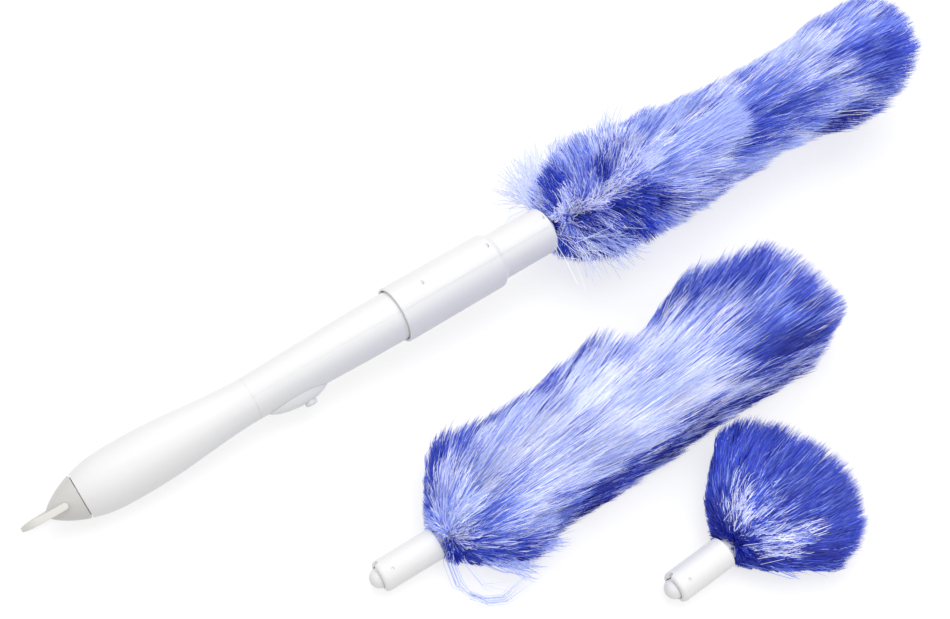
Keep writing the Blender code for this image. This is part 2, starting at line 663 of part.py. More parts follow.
def make_barrel(handle, keep_front, keep_back):
    button_station = WAIST_STATION + BUTTON_STATION
    opening = rod("button_opening", BUTTON_HALF_WIDTH + REST_GAP, 0.0, 2 * BARREL_FRONT_RADIUS, handle,
                  location=(0.0, 0.0, button_station), axis="Y", steps=INNER_STEPS,
                  stretch=BUTTON_HALF_LENGTH / BUTTON_HALF_WIDTH)
    front = turned("barrel_shell_button_side", barrel_section(), handle, WHITE_PLASTIC)
    shape_by(front, keep_front, "INTERSECT")
    shape_by(front, opening)
    back = turned("barrel_shell_back", barrel_section(), handle, WHITE_PLASTIC)
    shape_by(back, keep_back, "INTERSECT")

    crest_station = WAIST_STATION + PAD_STATION
    crest = barrel_radius(crest_station) + PAD_CREST
    bm = bmesh.new()
    bmesh.ops.create_uvsphere(bm, u_segments=PAD_SEGMENTS, v_segments=PAD_RINGS, radius=1.0)
    for vert in bm.verts:
        length = PAD_FRONT_LENGTH if vert.co.z > 0.0 else PAD_REAR_LENGTH
        vert.co = (vert.co.x * PAD_HALF_WIDTH, crest - PAD_DEPTH + vert.co.y * PAD_DEPTH,
                   vert.co.z * length)
    pad = new_piece("thumb_pad", mesh_from("thumb_pad", bm), handle, WHITE_PLASTIC,
                    (0.0, 0.0, crest_station))
    under = [(radius + REST_GAP, station) for radius, station
             in run_of(barrel_radius, BARREL_START, COLLAR_START, BARREL_RINGS)]
    shape_by(pad, turned("pad_underside", solid(under), handle))
    shape_by(pad, opening)

    top = crest + BUTTON_PROUD
    flange_top = math.sqrt((barrel_radius(button_station) - BARREL_WALL) ** 2
                           - (BUTTON_HALF_WIDTH + BUTTON_FLANGE) ** 2) - REST_GAP
    flange_low = flange_top - FLANGE_THICKNESS
    ratio = BUTTON_HALF_LENGTH / BUTTON_HALF_WIDTH
    button = rod("power_button", BUTTON_HALF_WIDTH, flange_low + FLANGE_THICKNESS / 2, top, handle,
                 BUTTON_PLASTIC, (0.0, 0.0, button_station), "Y", INNER_STEPS, ratio)
    dome = button.modifiers.new("crown", "BEVEL")
    dome.width = BUTTON_CROWN
    dome.segments = 1
    dome.limit_method = "ANGLE"
    flange = rod("button_flange", BUTTON_HALF_WIDTH + BUTTON_FLANGE, flange_low, flange_top, handle,
                 location=(0.0, 0.0, button_station), axis="Y", steps=INNER_STEPS, stretch=ratio)
    stem = rod("button_stem", STEM_RADIUS, flange_low - STEM_LENGTH, flange_low + FLANGE_THICKNESS / 3,
               handle, location=(0.0, 0.0, button_station), axis="Y")
    shape_by(button, flange, "UNION")
    shape_by(button, stem, "UNION")

    switch_low = BOARD_LEVEL + REST_GAP
    switch = block("switch_body", (-SWITCH_WIDTH / 2, switch_low, button_station - SWITCH_LENGTH / 2),
                   (SWITCH_WIDTH / 2, switch_low + SWITCH_HEIGHT, button_station + SWITCH_LENGTH / 2),
                   handle, DARK_PLASTIC)
    well_floor = flange_low - STEM_LENGTH - BUTTON_TRAVEL - REST_GAP
    well = rod("switch_well", STEM_RADIUS + RUNNING_GAP, well_floor, flange_top, handle,
               location=(0.0, 0.0, button_station), axis="Y")
    shape_by(switch, well)
    board_start = button_station - BOARD_HALF_LENGTH
    board_half = barrel_radius(board_start) - BARREL_WALL - BOARD_PLAY
    block("circuit_board", (-board_half, BOARD_LEVEL - BOARD_THICKNESS, board_start),
          (board_half, BOARD_LEVEL, button_station + BOARD_HALF_LENGTH), handle, BOARD_GREEN)


def make_leads(handle):
    """Two motor leads from the board's front edge to the motor's end bell."""
    start = WAIST_STATION + BUTTON_STATION + BOARD_HALF_LENGTH + REST_GAP
    end = MOTOR_START - REST_GAP
    y = BOARD_LEVEL - BOARD_THICKNESS / 2
    leads = ((1.0, "motor_lead_red", RED_SLEEVE), (-1.0, "motor_lead_black", DARK_PLASTIC))
    for sign, name, finish in leads:
        route = [(sign * LEAD_SPREAD * spread, y - sag, start + (end - start) * share)
                 for share, spread, sag in LEAD_ROUTE]
        wire(name, through(route, LEAD_STEPS), LEAD_RADIUS, handle, finish)


# Collar and nose
def front_section():
    rim = COLLAR_START
    mouth = BARREL_FRONT_RADIUS + COLLAR_MOUTH_GAP
    lip = BARREL_FRONT_RADIUS - HOOK_DEPTH + REST_GAP
    lip_low = rim + HOOK_START + REST_GAP
    lip_high = rim + HOOK_START + HOOK_LENGTH - REST_GAP
    rear_rib = rim + REAR_SCREW_STATION
    front_rib = rim + FRONT_SCREW_STATION
    bearing = NOSE_END - NOSE_BEARING_LENGTH
    outer = [
        (COLLAR_RADIUS - COLLAR_EDGE, rim),
        (COLLAR_RADIUS, rim + COLLAR_EDGE),
        (COLLAR_RADIUS, COLLAR_END - STEP_LENGTH),
        *[(NOSE_RADIUS + (COLLAR_RADIUS - NOSE_RADIUS) * height, COLLAR_END - STEP_LENGTH * length)
          for height, length in STEP_RUN],
        (NOSE_RADIUS, COLLAR_END),
        (NOSE_RADIUS, NOSE_END - COLLAR_EDGE),
        (NOSE_RADIUS - COLLAR_EDGE, NOSE_END),
    ]
    inner = [
        (mouth + COLLAR_EDGE, rim),
        (mouth, rim + 2 * COLLAR_EDGE),
        (mouth, lip_low),
        (lip, lip_low),
        (lip, lip_high),
        (CAVITY_RADIUS, lip_high),
        (CAVITY_RADIUS, rear_rib - RIB_HALF_LENGTH),
        (MOTOR_SEAT_RADIUS, rear_rib - RIB_HALF_LENGTH),
        (MOTOR_SEAT_RADIUS, rear_rib + RIB_HALF_LENGTH),
        (CAVITY_RADIUS, rear_rib + RIB_HALF_LENGTH),
        (CAVITY_RADIUS, RING_START + RIB_HALF_LENGTH),
        (GEAR_SEAT_RADIUS, RING_START + RIB_HALF_LENGTH),
        (GEAR_SEAT_RADIUS, RING_START + 2 * RIB_HALF_LENGTH),
        (CAVITY_RADIUS, RING_START + 2 * RIB_HALF_LENGTH),
        (CAVITY_RADIUS, front_rib - RIB_HALF_LENGTH),
        (GEAR_SEAT_RADIUS, front_rib - RIB_HALF_LENGTH),
        (GEAR_SEAT_RADIUS, front_rib + RIB_HALF_LENGTH),
        (NOSE_RADIUS - NOSE_WALL, front_rib + RIB_HALF_LENGTH),
        (NOSE_RADIUS - NOSE_WALL, bearing),
        (NOSE_BEARING_RADIUS, bearing),
        (NOSE_BEARING_RADIUS, NOSE_END),
    ]
    return wall(outer, inner)


def screw_places():
    """Across and along places of the six shell screws."""
    collar_across = COLLAR_RADIUS * math.cos(SCREW_ANGLE)
    nose_across = NOSE_RADIUS * math.cos(SCREW_ANGLE)
    places = [
        (collar_across, COLLAR_START + REAR_SCREW_STATION),
        (collar_across, COLLAR_START + FRONT_SCREW_STATION),
        (nose_across, NOSE_END - NOSE_SCREW_SETBACK),
    ]
    return [(sign * across, station) for across, station in places for sign in (1.0, -1.0)]


def make_front_shells(handle, keep_front, keep_back):
    front = turned("front_shell_button_side", front_section(), handle, WHITE_PLASTIC)
    back = turned("front_shell_back", front_section(), handle, WHITE_PLASTIC)
    shape_by(front, keep_front, "INTERSECT")
    shape_by(back, keep_back, "INTERSECT")
    shaft_end = SCREW_LENGTH - SCREW_SEAT
    for number, (across, station) in enumerate(screw_places(), 1):
        place = (across, 0.0, station)
        hole = solid([
            (SCREW_HEAD_RADIUS + RUNNING_GAP, -COLLAR_RADIUS),
            (SCREW_HEAD_RADIUS + RUNNING_GAP, -SCREW_SEAT),
            (SCREW_SHAFT_RADIUS + RUNNING_GAP, -SCREW_SEAT),
            (SCREW_SHAFT_RADIUS + RUNNING_GAP, shaft_end + REST_GAP),
        ])
        tool = turned("screw_hole_%d" % number, hole, handle, None, SMALL_STEPS, place, "Y")
        shape_by(back, tool)
        shape_by(front, tool)
        head_low = -SCREW_SEAT - REST_GAP - SCREW_HEAD_HEIGHT
        screw = solid([
            (SCREW_HEAD_RADIUS, head_low),
            (SCREW_HEAD_RADIUS, -SCREW_SEAT - REST_GAP),
            (SCREW_SHAFT_RADIUS, -SCREW_SEAT - REST_GAP),
            (SCREW_SHAFT_RADIUS, shaft_end),
        ])
        turned("shell_screw_%d" % number, screw, handle, STEEL, SMALL_STEPS, place, "Y")


# Motor
def make_motor(handle):
    shaft_hole = SHAFT_RADIUS + RUNNING_GAP
    can_bore = MOTOR_RADIUS - MOTOR_WALL
    front_wall = MOTOR_END - MOTOR_WALL
    boss_end = MOTOR_END + MOTOR_BOSS_LENGTH
    outer = [
        (MOTOR_RADIUS, MOTOR_START),
        (MOTOR_RADIUS, MOTOR_END),
        (MOTOR_BOSS_RADIUS, MOTOR_END),
        (MOTOR_BOSS_RADIUS, boss_end),
    ]
    inner = [
        (can_bore, MOTOR_START),
        (can_bore, front_wall),
        (shaft_hole, front_wall),
        (shaft_hole, boss_end),
    ]
    turned("motor_can", wall(outer, inner), handle, STEEL, INNER_STEPS)
    bell_radius = can_bore - REST_GAP
    bell_end = MOTOR_START + END_BELL_LENGTH
    turned("motor_end_bell", wall([(bell_radius, MOTOR_START), (bell_radius, bell_end)],
                                  [(shaft_hole, MOTOR_START), (shaft_hole, bell_end)]),
           handle, DARK_PLASTIC, INNER_STEPS)
    magnet_outer = can_bore - REST_GAP
    magnet_inner = magnet_outer - MAGNET_THICKNESS
    middle = (MOTOR_START + END_BELL_LENGTH + front_wall) / 2
    for label, centre in (("left", 0.0), ("right", math.pi)):
        angles = [centre + MAGNET_SPAN * (i / MAGNET_STEPS - 0.5) for i in range(MAGNET_STEPS + 1)]
        arc = [(magnet_outer * math.cos(a), magnet_outer * math.sin(a)) for a in angles]
        arc += [(magnet_inner * math.cos(a), magnet_inner * math.sin(a)) for a in reversed(angles)]
        plate("magnet_" + label, [arc], MAGNET_LENGTH, handle, FERRITE,
              (0.0, 0.0, middle - MAGNET_LENGTH / 2))

    shoe = ARMATURE_RADIUS - SHOE_THICKNESS
    half_pole = [(POLE_HUB_RADIUS, POLE_ROOT_SPAN), (shoe, POLE_STEM_SPAN), (shoe, SHOE_SPAN),
                 (ARMATURE_RADIUS, SHOE_SPAN), (ARMATURE_RADIUS, SHOE_SPAN / 2), (ARMATURE_RADIUS, 0.0)]
    whole_pole = [(radius, -offset) for radius, offset in half_pole] + list(reversed(half_pole[:-1]))
    poles = []
    for i in range(ARMATURE_POLES):
        centre = 2 * math.pi * i / ARMATURE_POLES
        for radius, offset in whole_pole:
            poles.append((radius * math.cos(centre + offset), radius * math.sin(centre + offset)))
    plate("armature_core", [poles, circle(shaft_hole, SMALL_STEPS)], ARMATURE_LENGTH, handle, COPPER,
          (0.0, 0.0, middle - ARMATURE_LENGTH / 2))
    brushes = MOTOR_START + END_BELL_LENGTH + REST_GAP
    turned("commutator", wall([(COMMUTATOR_RADIUS, 0.0), (COMMUTATOR_RADIUS, COMMUTATOR_LENGTH)],
                              [(shaft_hole, 0.0), (shaft_hole, COMMUTATOR_LENGTH)]),
           handle, COPPER, SMALL_STEPS, (0.0, 0.0, brushes))
    shaft_end = RING_START + GEAR_GAP + GEAR_WIDTH
    rod("motor_shaft", SHAFT_RADIUS, MOTOR_START + REST_GAP, shaft_end, handle, STEEL)


# Gears
def gear_outline(teeth, inward=False):
    """Straight-flanked teeth round a pitch circle, with a tooth at angle zero."""
    pitch = MODULE * teeth / 2
    way = -1.0 if inward else 1.0
    top = pitch + way * MODULE * TOOTH_TOP
    root = pitch - way * MODULE * TOOTH_ROOT
    thick = math.pi * MODULE / 2 - TOOTH_BACKLASH
    top_half = (thick / 2 - MODULE * TOOTH_TOP * TOP_SLOPE) / top
    root_half = (thick / 2 + MODULE * TOOTH_ROOT * ROOT_SLOPE) / root
    outline = []
    for i in range(teeth):
        middle = 2 * math.pi * i / teeth
        for radius, offset in ((root, -root_half), (top, -top_half), (top, top_half), (root, root_half)):
            outline.append((radius * math.cos(middle + offset), radius * math.sin(middle + offset)))
    return outline


def turned_by(outline, angle):
    c, s = math.cos(angle), math.sin(angle)
    return [(x * c - y * s, x * s + y * c) for x, y in outline]


def make_stage(handle, number, start, sun_bore):
    """One sun with its three planets; the planets' gaps face the sun's and the ring's teeth."""
    gears = start + GEAR_GAP
    plate("sun_gear_%d" % number, [gear_outline(SUN_TEETH), circle(sun_bore, SMALL_STEPS)], GEAR_WIDTH,
          handle, BRASS, (0.0, 0.0, gears))
    half_tooth = math.pi / PLANET_TEETH
    for i in range(PLANETS):
        angle = 2 * math.pi * i / PLANETS
        place = (PLANET_ORBIT * math.cos(angle), PLANET_ORBIT * math.sin(angle), gears)
        teeth = turned_by(gear_outline(PLANET_TEETH), angle + math.pi + half_tooth)
        hole = circle(PLANET_PIN_RADIUS + RUNNING_GAP, SMALL_STEPS)
        plate("planet_gear_%d%s" % (number, "abc"[i]), [teeth, hole], GEAR_WIDTH, handle, GEAR_PLASTIC,
              place)


def make_carrier(handle, name, start, front_radius, front_end, finish):
    """A carrier disc with three pins back into its planets and a stub or shaft ahead."""
    disc = start + GEAR_GAP + GEAR_WIDTH + GEAR_GAP
    rim = PLANET_ORBIT + PLANET_PIN_RADIUS + CARRIER_RIM
    section = solid([(rim, disc), (rim, disc + CARRIER_THICKNESS), (front_radius, disc + CARRIER_THICKNESS),
                     (front_radius, front_end)])
    carrier = turned(name, section, handle, finish, INNER_STEPS)
    for i in range(PLANETS):
        angle = 2 * math.pi * i / PLANETS
        place = (PLANET_ORBIT * math.cos(angle), PLANET_ORBIT * math.sin(angle), 0.0)
        pin = rod("%s_pin_%d" % (name, i + 1), PLANET_PIN_RADIUS, start + GEAR_GAP,
                  disc + CARRIER_THICKNESS / 2, handle, location=place)
        shape_by(carrier, pin, "UNION")


def make_gearbox(handle):
    turned("gearbox_plate", wall([(RING_OUTER_RADIUS, 0.0), (RING_OUTER_RADIUS, PLATE_THICKNESS)],
                                 [(MOTOR_BOSS_RADIUS + RUNNING_GAP, 0.0),
                                  (MOTOR_BOSS_RADIUS + RUNNING_GAP, PLATE_THICKNESS)]),
           handle, STEEL, INNER_STEPS, (0.0, 0.0, PLATE_START))
    plate("ring_gear", [circle(RING_OUTER_RADIUS, INNER_STEPS), gear_outline(RING_TEETH, inward=True)],
          RING_END - RING_START, handle, GEAR_PLASTIC, (0.0, 0.0, RING_START))
    second = RING_START + STAGE_LENGTH
    make_stage(handle, 1, RING_START, SHAFT_RADIUS + RUNNING_GAP)
    stub_end = second + GEAR_GAP + GEAR_WIDTH
    make_carrier(handle, "planet_carrier_1", RING_START, SUN_STUB_RADIUS, stub_end, STEEL)
    make_stage(handle, 2, second, SUN_STUB_RADIUS + RUNNING_GAP)
    make_carrier(handle, "spindle", second, SPINDLE_RADIUS, CUP_START - REST_GAP, STEEL)


# Drive socket
def make_socket(handle, head):
    outer = [
        (HUB_RADIUS, HUB_START),
        (HUB_RADIUS, CUP_START - REST_GAP),
        (SOCKET_RADIUS, CUP_START + WEB_THICKNESS),
        (SOCKET_RADIUS, SOCKET_END),
    ]
    ring_end = NOSE_END - GRIP_RING_SETBACK
    ring_start = ring_end - GRIP_RING_WIDTH
    groove = SOCKET_BORE_RADIUS + SOCKET_WALL / 2
    recess = DOME_RADIUS + DOME_GROOVE / 2
    bore = [
        (SPINDLE_RADIUS + RUNNING_GAP, HUB_START),
        (SPINDLE_RADIUS + RUNNING_GAP, CUP_START),
        (0.0, CUP_START),
    ]
    cup = [
        (0.0, DOME_FLOOR),
        (recess, DOME_FLOOR),
        (recess, SOCKET_FLOOR_STATION),
        (SOCKET_BORE_RADIUS, SOCKET_FLOOR_STATION),
        (SOCKET_BORE_RADIUS, ring_start),
        (groove, ring_start),
        (groove, ring_end),
        (SOCKET_BORE_RADIUS, ring_end),
        (SOCKET_BORE_RADIUS, SOCKET_END),
    ]
    socket = turned("drive_socket", cup + list(reversed(outer)) + bore, handle, WHITE_PLASTIC, SHANK_STEPS)
    inner_end = recess + DOME_GROOVE
    for sign, label in ((-1.0, "near"), (1.0, "far")):
        low, high = sorted((sign * inner_end, sign * (SOCKET_BORE_RADIUS + SOCKET_WALL / 3)))
        lug = block("drive_lug_" + label, (low, -LUG_WIDTH / 2, -2 * REST_GAP),
                    (high, LUG_WIDTH / 2, LUG_HEIGHT - REST_GAP), head)
        shape_by(socket, lug, "UNION")
    low = ring_start + RUNNING_GAP
    high = ring_end - RUNNING_GAP
    outside = groove - RUNNING_GAP
    inside = SHANK_RADIUS + RUNNING_GAP
    turned("grip_ring", wall([(outside, low), (outside, high)], [(inside, low), (inside, high)]),
           handle, RUBBER, SHANK_STEPS)
    outside = GEAR_SEAT_RADIUS - REST_GAP
    inside = HUB_RADIUS + RUNNING_GAP
    turned("spindle_bushing", wall([(outside, 0.0), (outside, BUSHING_LENGTH)],
                                   [(inside, 0.0), (inside, BUSHING_LENGTH)]),
           handle, BRASS, INNER_STEPS, (0.0, 0.0, BUSHING_START))


# Heads
def make_shank(label, axis, notch_angle, core_end):
    """The white shank with its dome plug, and the core rod, measured from the shank's end."""
    dimple_angle = notch_angle + DIMPLE_TURN
    recess = DOME_RADIUS + DOME_GROOVE
    bore = CORE_RADIUS + REST_GAP
    outer = [
        (SHANK_END_RADIUS, 0.0),
        (SHANK_RADIUS, SHANK_CHAMFER),
        (SHANK_RADIUS, SHANK_LENGTH),
        (FERRULE_RADIUS, SHANK_LENGTH),
        (FERRULE_RADIUS, SHANK_LENGTH + FERRULE_LENGTH),
    ]
    inner = [
        (recess, 0.0),
        (recess, DOME_RECESS),
        (bore, DOME_RECESS),
        (bore, SHANK_LENGTH + FERRULE_LENGTH),
    ]
    shank = turned(label + "_shank", wall(outer, inner), axis, WHITE_PLASTIC, SHANK_STEPS)
    notch_end = SHANK_RADIUS + REST_GAP
    notch = block(label + "_notch", (-notch_end, -NOTCH_WIDTH / 2, -REST_GAP),
                  (notch_end, NOTCH_WIDTH / 2, NOTCH_DEPTH), axis)
    notch.data.transform(Matrix.Rotation(notch_angle, 4, "Z"))
    shape_by(shank, notch)
    bm = bmesh.new()
    bmesh.ops.create_uvsphere(bm, u_segments=DIMPLE_SEGMENTS, v_segments=DIMPLE_RINGS,
                              radius=DIMPLE_RADIUS)
    place = (SHANK_RADIUS * math.cos(dimple_angle), SHANK_RADIUS * math.sin(dimple_angle), DIMPLE_STATION)
    dimple = new_piece(label + "_dimple", mesh_from(label + "_dimple", bm), axis, None, place)
    shape_by(shank, dimple)

    dome = []
    for i in range(DOME_RINGS + 1):
        angle = math.pi / 2 * i / DOME_RINGS
        dome.append((DOME_RADIUS * math.sin(angle), -DOME_HEIGHT * math.cos(angle)))
    seat = DOME_RECESS - REST_GAP
    turned(label + "_dome_plug", [(0.0, seat), (DOME_RADIUS, seat)] + list(reversed(dome)), axis,
           WHITE_PLASTIC, INNER_STEPS)
    rod(label + "_core", CORE_RADIUS, DOME_RECESS + REST_GAP, core_end, axis, STEEL)


def ring_tips(form, rings):
    """Place and reach of each ring's tips, spread evenly along the head's outer form."""
    lengths = [0.0]
    for (a, low), (b, high) in zip(form, form[1:]):
        lengths.append(lengths[-1] + math.hypot(b - a, high - low))
    place = [(length, point[0]) for length, point in zip(lengths, form)]
    reach = [(length, point[1]) for length, point in zip(lengths, form)]
    tips = []
    for ring in range(rings):
        at = TIP_START + (lengths[-1] - TIP_STOP - TIP_START) * ring / (rings - 1)
        tips.append((read_line(place, at), read_line(reach, at)))
    return tips


def make_fluff(name, axis, finish, form, rings, strands, sleeve_end, fill, height=None, floor=None):
    """Tapered strands in rings round a sleeve, each swept from its root out to its tip.

    form gives the reach of the fluff, as (beyond the shank, reach) points, and fill how much of the
    way round the strands take up; height gives the reach across the flat of a fan, and floor the
    depth of the table below the axis, where the head lies on one.
    """
    bore = CORE_RADIUS + REST_GAP
    root = bore + SLEEVE_WALL
    low = SHANK_LENGTH + FERRULE_LENGTH + REST_GAP
    pitch = (SHANK_LENGTH + sleeve_end - low) / rings
    sectors = 2 * strands
    section = [(bore, low + pitch * rings)]
    section += [(root, low + pitch * ring) for ring in reversed(range(rings + 1))]
    section.append((bore, low))
    bm = bmesh.new()
    turn = Matrix.Rotation(math.pi - math.pi / sectors, 3, "Z")
    verts = [bm.verts.new(turn @ Vector((radius, 0.0, station))) for radius, station in section]
    edges = [bm.edges.new((verts[i - 1], verts[i])) for i in range(len(verts))]
    bmesh.ops.spin(bm, geom=verts + edges, axis=(0.0, 0.0, 1.0), cent=(0.0, 0.0, 0.0), steps=sectors,
                   angle=2 * math.pi, use_merge=True)
    bmesh.ops.remove_doubles(bm, verts=bm.verts, dist=MERGE)
    bmesh.ops.recalc_face_normals(bm, faces=bm.faces)

    paths = []
    for ring, (beyond, reach) in enumerate(ring_tips(form, rings)):
        start = Vector((root, low + pitch * (ring + 0.5)))
        run = Vector((reach, SHANK_LENGTH + beyond)) - start
        paths.append((start, start + Vector((run.x * SWELL_OUT, run.y * SWELL_ALONG)), start + run))
    roots = []
    for face in bm.faces:
        middle = face.calc_center_median()
        ring = int((middle.z - low) / pitch)
        sector = round(math.atan2(middle.y, -middle.x) * strands / math.pi)
        outside = math.hypot(middle.x, middle.y) > (bore + root) / 2 and abs(face.normal.z) < 0.5
        if outside and (sector + ring) % 2 == 0:
            roots.append((face, ring))
    for face, ring in roots:
        beside = paths[ring - 1] if ring + 1 == rings else paths[ring + 1]
        grow_strand(bm, face, paths[ring], beside, fill / strands)

    lie_down(bm, root, form, height, floor)
    return new_piece(name, mesh_from(name, bm, FLUFF_SMOOTH_ANGLE), axis, finish)


def grow_strand(bm, face, path, beside, span):
    """Extrudes one face of the sleeve into a leaf of four sides that ends in a point; its span is
    its share of half a turn where it swells."""
    centre = face.calc_center_median()
    out = Vector((centre.x, centre.y, 0.0)).normalized()
    around = Vector((-out.y, out.x, 0.0))
    (radius, station), (tip_radius, tip_station) = path[1], path[2]
    middle = out * radius + Vector((0.0, 0.0, station))
    tip = out * tip_radius + Vector((0.0, 0.0, tip_station))
    run = (path[2] - path[0]).normalized()
    across = out * run.y - Vector((0.0, 0.0, run.x))
    clear = abs((beside[1] - path[1]).cross(run))
    half_thick = min(SWELL_SHARE * clear, SWELL_THICKNESS / 2)
    inner = radius - half_thick * abs(run.y)
    half_wide = min(span * math.pi * inner, SWELL_WIDTH / 2)
    sides = [(math.copysign(half_wide, (vert.co - centre).dot(around)),
              math.copysign(half_thick, (vert.co - centre).dot(across))) for vert in face.verts]
    leaf = bmesh.ops.extrude_discrete_faces(bm, faces=[face])["faces"][0]
    for vert, (wide, thick) in zip(leaf.verts, sides):
        vert.co = middle + around * wide + across * thick
    point = bmesh.ops.extrude_discrete_faces(bm, faces=[leaf])["faces"][0]
    bmesh.ops.pointmerge(bm, verts=list(point.verts), merge_co=tip)


def lie_down(bm, root, form, height, floor):
    """Presses the strands flat above and below the sleeve, to a fan's height and to the table."""
    for vert in bm.verts:
        beyond = vert.co.z - SHANK_LENGTH
        full = max(read_line(form, beyond), math.hypot(vert.co.x, vert.co.y))
        reach = full if height is None else min(full, read_line(height, beyond))
        if floor is not None and vert.co.x < 0.0:
            reach = min(reach, floor(vert.co.z) + FLAT_DEPTH)
        if abs(vert.co.x) > root and reach < full:
            pressed = root + (abs(vert.co.x) - root) * (reach - root) / (full - root)
            vert.co.x = math.copysign(pressed, vert.co.x)


# Layout on the table
def resting_lean():
    """Lean of the handle when both its belly and its fluffy head touch the table, and the height
    of its tail seam above the table."""
    stations = [WAIST_STATION * i / LEAN_STEPS for i in range(LEAN_STEPS + 1)]
    belly = [(station, grip_radius(station)) for station in stations]
    first = SHANK_END + SHANK_LENGTH
    tips = ring_tips(MOUNTED_FORM, MOUNTED_RINGS)[::2]
    head = [(first + beyond, reach - FLAT_DEPTH) for beyond, reach in tips]
    lean = 0.0
    for _ in range(LEAN_STEPS):
        depth = [max(pair, key=lambda point: point[1] * math.cos(lean) - point[0] * math.sin(lean))
                 for pair in (belly, head)]
        (near, small), (far, large) = depth
        lean = math.atan((large - small) / (far - near))
    (near, small), _ = depth
    return lean, small * math.cos(lean) - near * math.sin(lean)


def handle_matrix(lean, height):
    """Axis of the handle: its length rises by the lean, and its button faces the near side."""
    along = Vector((math.cos(lean), 0.0, math.sin(lean)))
    up = Vector((-math.sin(lean), 0.0, math.cos(lean)))
    near = Vector((0.0, -1.0, 0.0))
    seam = math.cos(BUTTON_DROP) * up + math.sin(BUTTON_DROP) * near
    button = math.cos(BUTTON_DROP) * near - math.sin(BUTTON_DROP) * up
    turn = Matrix((seam, button, along)).transposed().to_4x4()
    return Matrix.Translation((0.0, 0.0, height)) @ turn


def loose_matrix(place, turn, tilt):
    """Axis of a head that lies on the table on its shank's end, with X up and Z along it."""
    height = SHANK_RADIUS * math.cos(tilt) - SHANK_CHAMFER * math.sin(tilt)
    along = Matrix.Rotation(turn, 4, "Z") @ Matrix.Rotation(math.pi / 2 - tilt, 4, "Y")
    flip = Matrix.Rotation(math.pi, 4, "Z")
    return Matrix.Translation((*place, height)) @ along @ flip


def table_below(tilt):
    """Depth of the table below the axis of a loose head, at a station along it."""
    height = SHANK_RADIUS * math.cos(tilt) - SHANK_CHAMFER * math.sin(tilt)
    return lambda station: (height + station * math.sin(tilt)) / math.cos(tilt)


def make_heads(base, mounted, table):
    medium = new_axis("medium_head_axis", base, loose_matrix(MEDIUM_PLACE, MEDIUM_TURN, MEDIUM_TILT))
    small = new_axis("small_head_axis", base, loose_matrix(SMALL_PLACE, SMALL_TURN, SMALL_TILT))
    make_shank("mounted", mounted, 0.0, SHANK_LENGTH + MOUNTED_SLEEVE - REST_GAP)
    make_shank("medium", medium, LOOSE_NOTCH_TURN, SHANK_LENGTH + MEDIUM_SLEEVE - REST_GAP)
    make_shank("small", small, LOOSE_NOTCH_TURN, SHANK_LENGTH + SMALL_SLEEVE - REST_GAP)
    fluffs = [
        make_fluff("mounted_fluff", mounted, MIXED_FLUFF, MOUNTED_FORM, MOUNTED_RINGS, HEAD_STRANDS,
                   MOUNTED_SLEEVE, HEAD_FILL),
        make_fluff("medium_fluff", medium, PALE_FLUFF, MEDIUM_FORM, MEDIUM_RINGS, HEAD_STRANDS,
                   MEDIUM_SLEEVE, HEAD_FILL, floor=table_below(MEDIUM_TILT)),
        make_fluff("small_fluff", small, ROYAL_FLUFF, FAN_WIDTH_FORM, FAN_RINGS, FAN_STRANDS,
                   SMALL_SLEEVE, FAN_FILL, FAN_HEIGHT_FORM, table_below(SMALL_TILT)),
    ]
    for fluff in fluffs:
        shape_by(fluff, table)


def centre_on_base(base):
    """Moves the whole duster so that the middle of its base is at the origin."""
    bpy.context.view_layer.update()
    seen = bpy.context.evaluated_depsgraph_get()
    low = Vector((math.inf,) * 3)
    high = Vector((-math.inf,) * 3)
    for obj in PARTS.objects:
        if obj.type == "EMPTY":
            continue
        shape = obj.evaluated_get(seen)
        mesh = shape.to_mesh()
        for vert in mesh.vertices:
            at = shape.matrix_world @ vert.co
            low = Vector(map(min, low, at))
            high = Vector(map(max, high, at))
        shape.to_mesh_clear()
    base.location = (-(low.x + high.x) / 2, -(low.y + high.y) / 2, -low.z)
    bpy.context.view_layer.update()
    print("size", [round(value, 4) for value in high - low])


def main():
    base = new_axis("duster_base", None, Matrix.Identity(4))
    lean, height = resting_lean()
    handle = new_axis("handle_axis", base, handle_matrix(lean, height))
    reach = 2 * COLLAR_RADIUS
    edge = PARTING_GAP / 2
    far = NOSE_END + reach
    keep_front = block("button_side_half", (-reach, edge, 0.0), (reach, reach, far), handle)
    keep_back = block("back_half", (-reach, -reach, 0.0), (reach, -edge, far), handle)
    table = block("table", (-TABLE_REACH, -TABLE_REACH, -reach), (TABLE_REACH, TABLE_REACH, 0.0), base)

    pivot = new_axis("hang_loop_axis", handle, Matrix.Translation((0.0, 0.0, -LOOP_PIVOT_DEPTH))
                     @ Matrix.Rotation(LOOP_TURN, 4, "Z"))
    make_tail_cap(handle, pivot)
    make_hang_loop(pivot)
    make_grip(handle)
    make_barrel(handle, keep_front, keep_back)
    make_leads(handle)
    make_front_shells(handle, keep_front, keep_back)
    make_motor(handle)
    make_gearbox(handle)
    head = new_axis("mounted_head_axis", handle, Matrix.Translation((0.0, 0.0, SHANK_END))
                    @ Matrix.Rotation(-BUTTON_DROP, 4, "Z"))
    make_socket(handle, head)
    make_heads(base, head, table)
    centre_on_base(base)
    print("lean in degrees", round(math.degrees(lean), 3), "tail seam height", round(height, 5))
    for name, place in (("tail seam", 0.0), ("loop pivot", -LOOP_PIVOT_DEPTH), ("collar rim", COLLAR_START),
                        ("nose rim", NOSE_END), ("shank end", SHANK_END)):
        at = handle.matrix_world @ Vector((0.0, 0.0, place))
        print(name, [round(value, 6) for value in at])
    for axis, name in enumerate(("seam direction", "button direction", "axis direction")):
        print(name, [round(value, 6) for value in handle.matrix_world.col[axis].to_3d()])


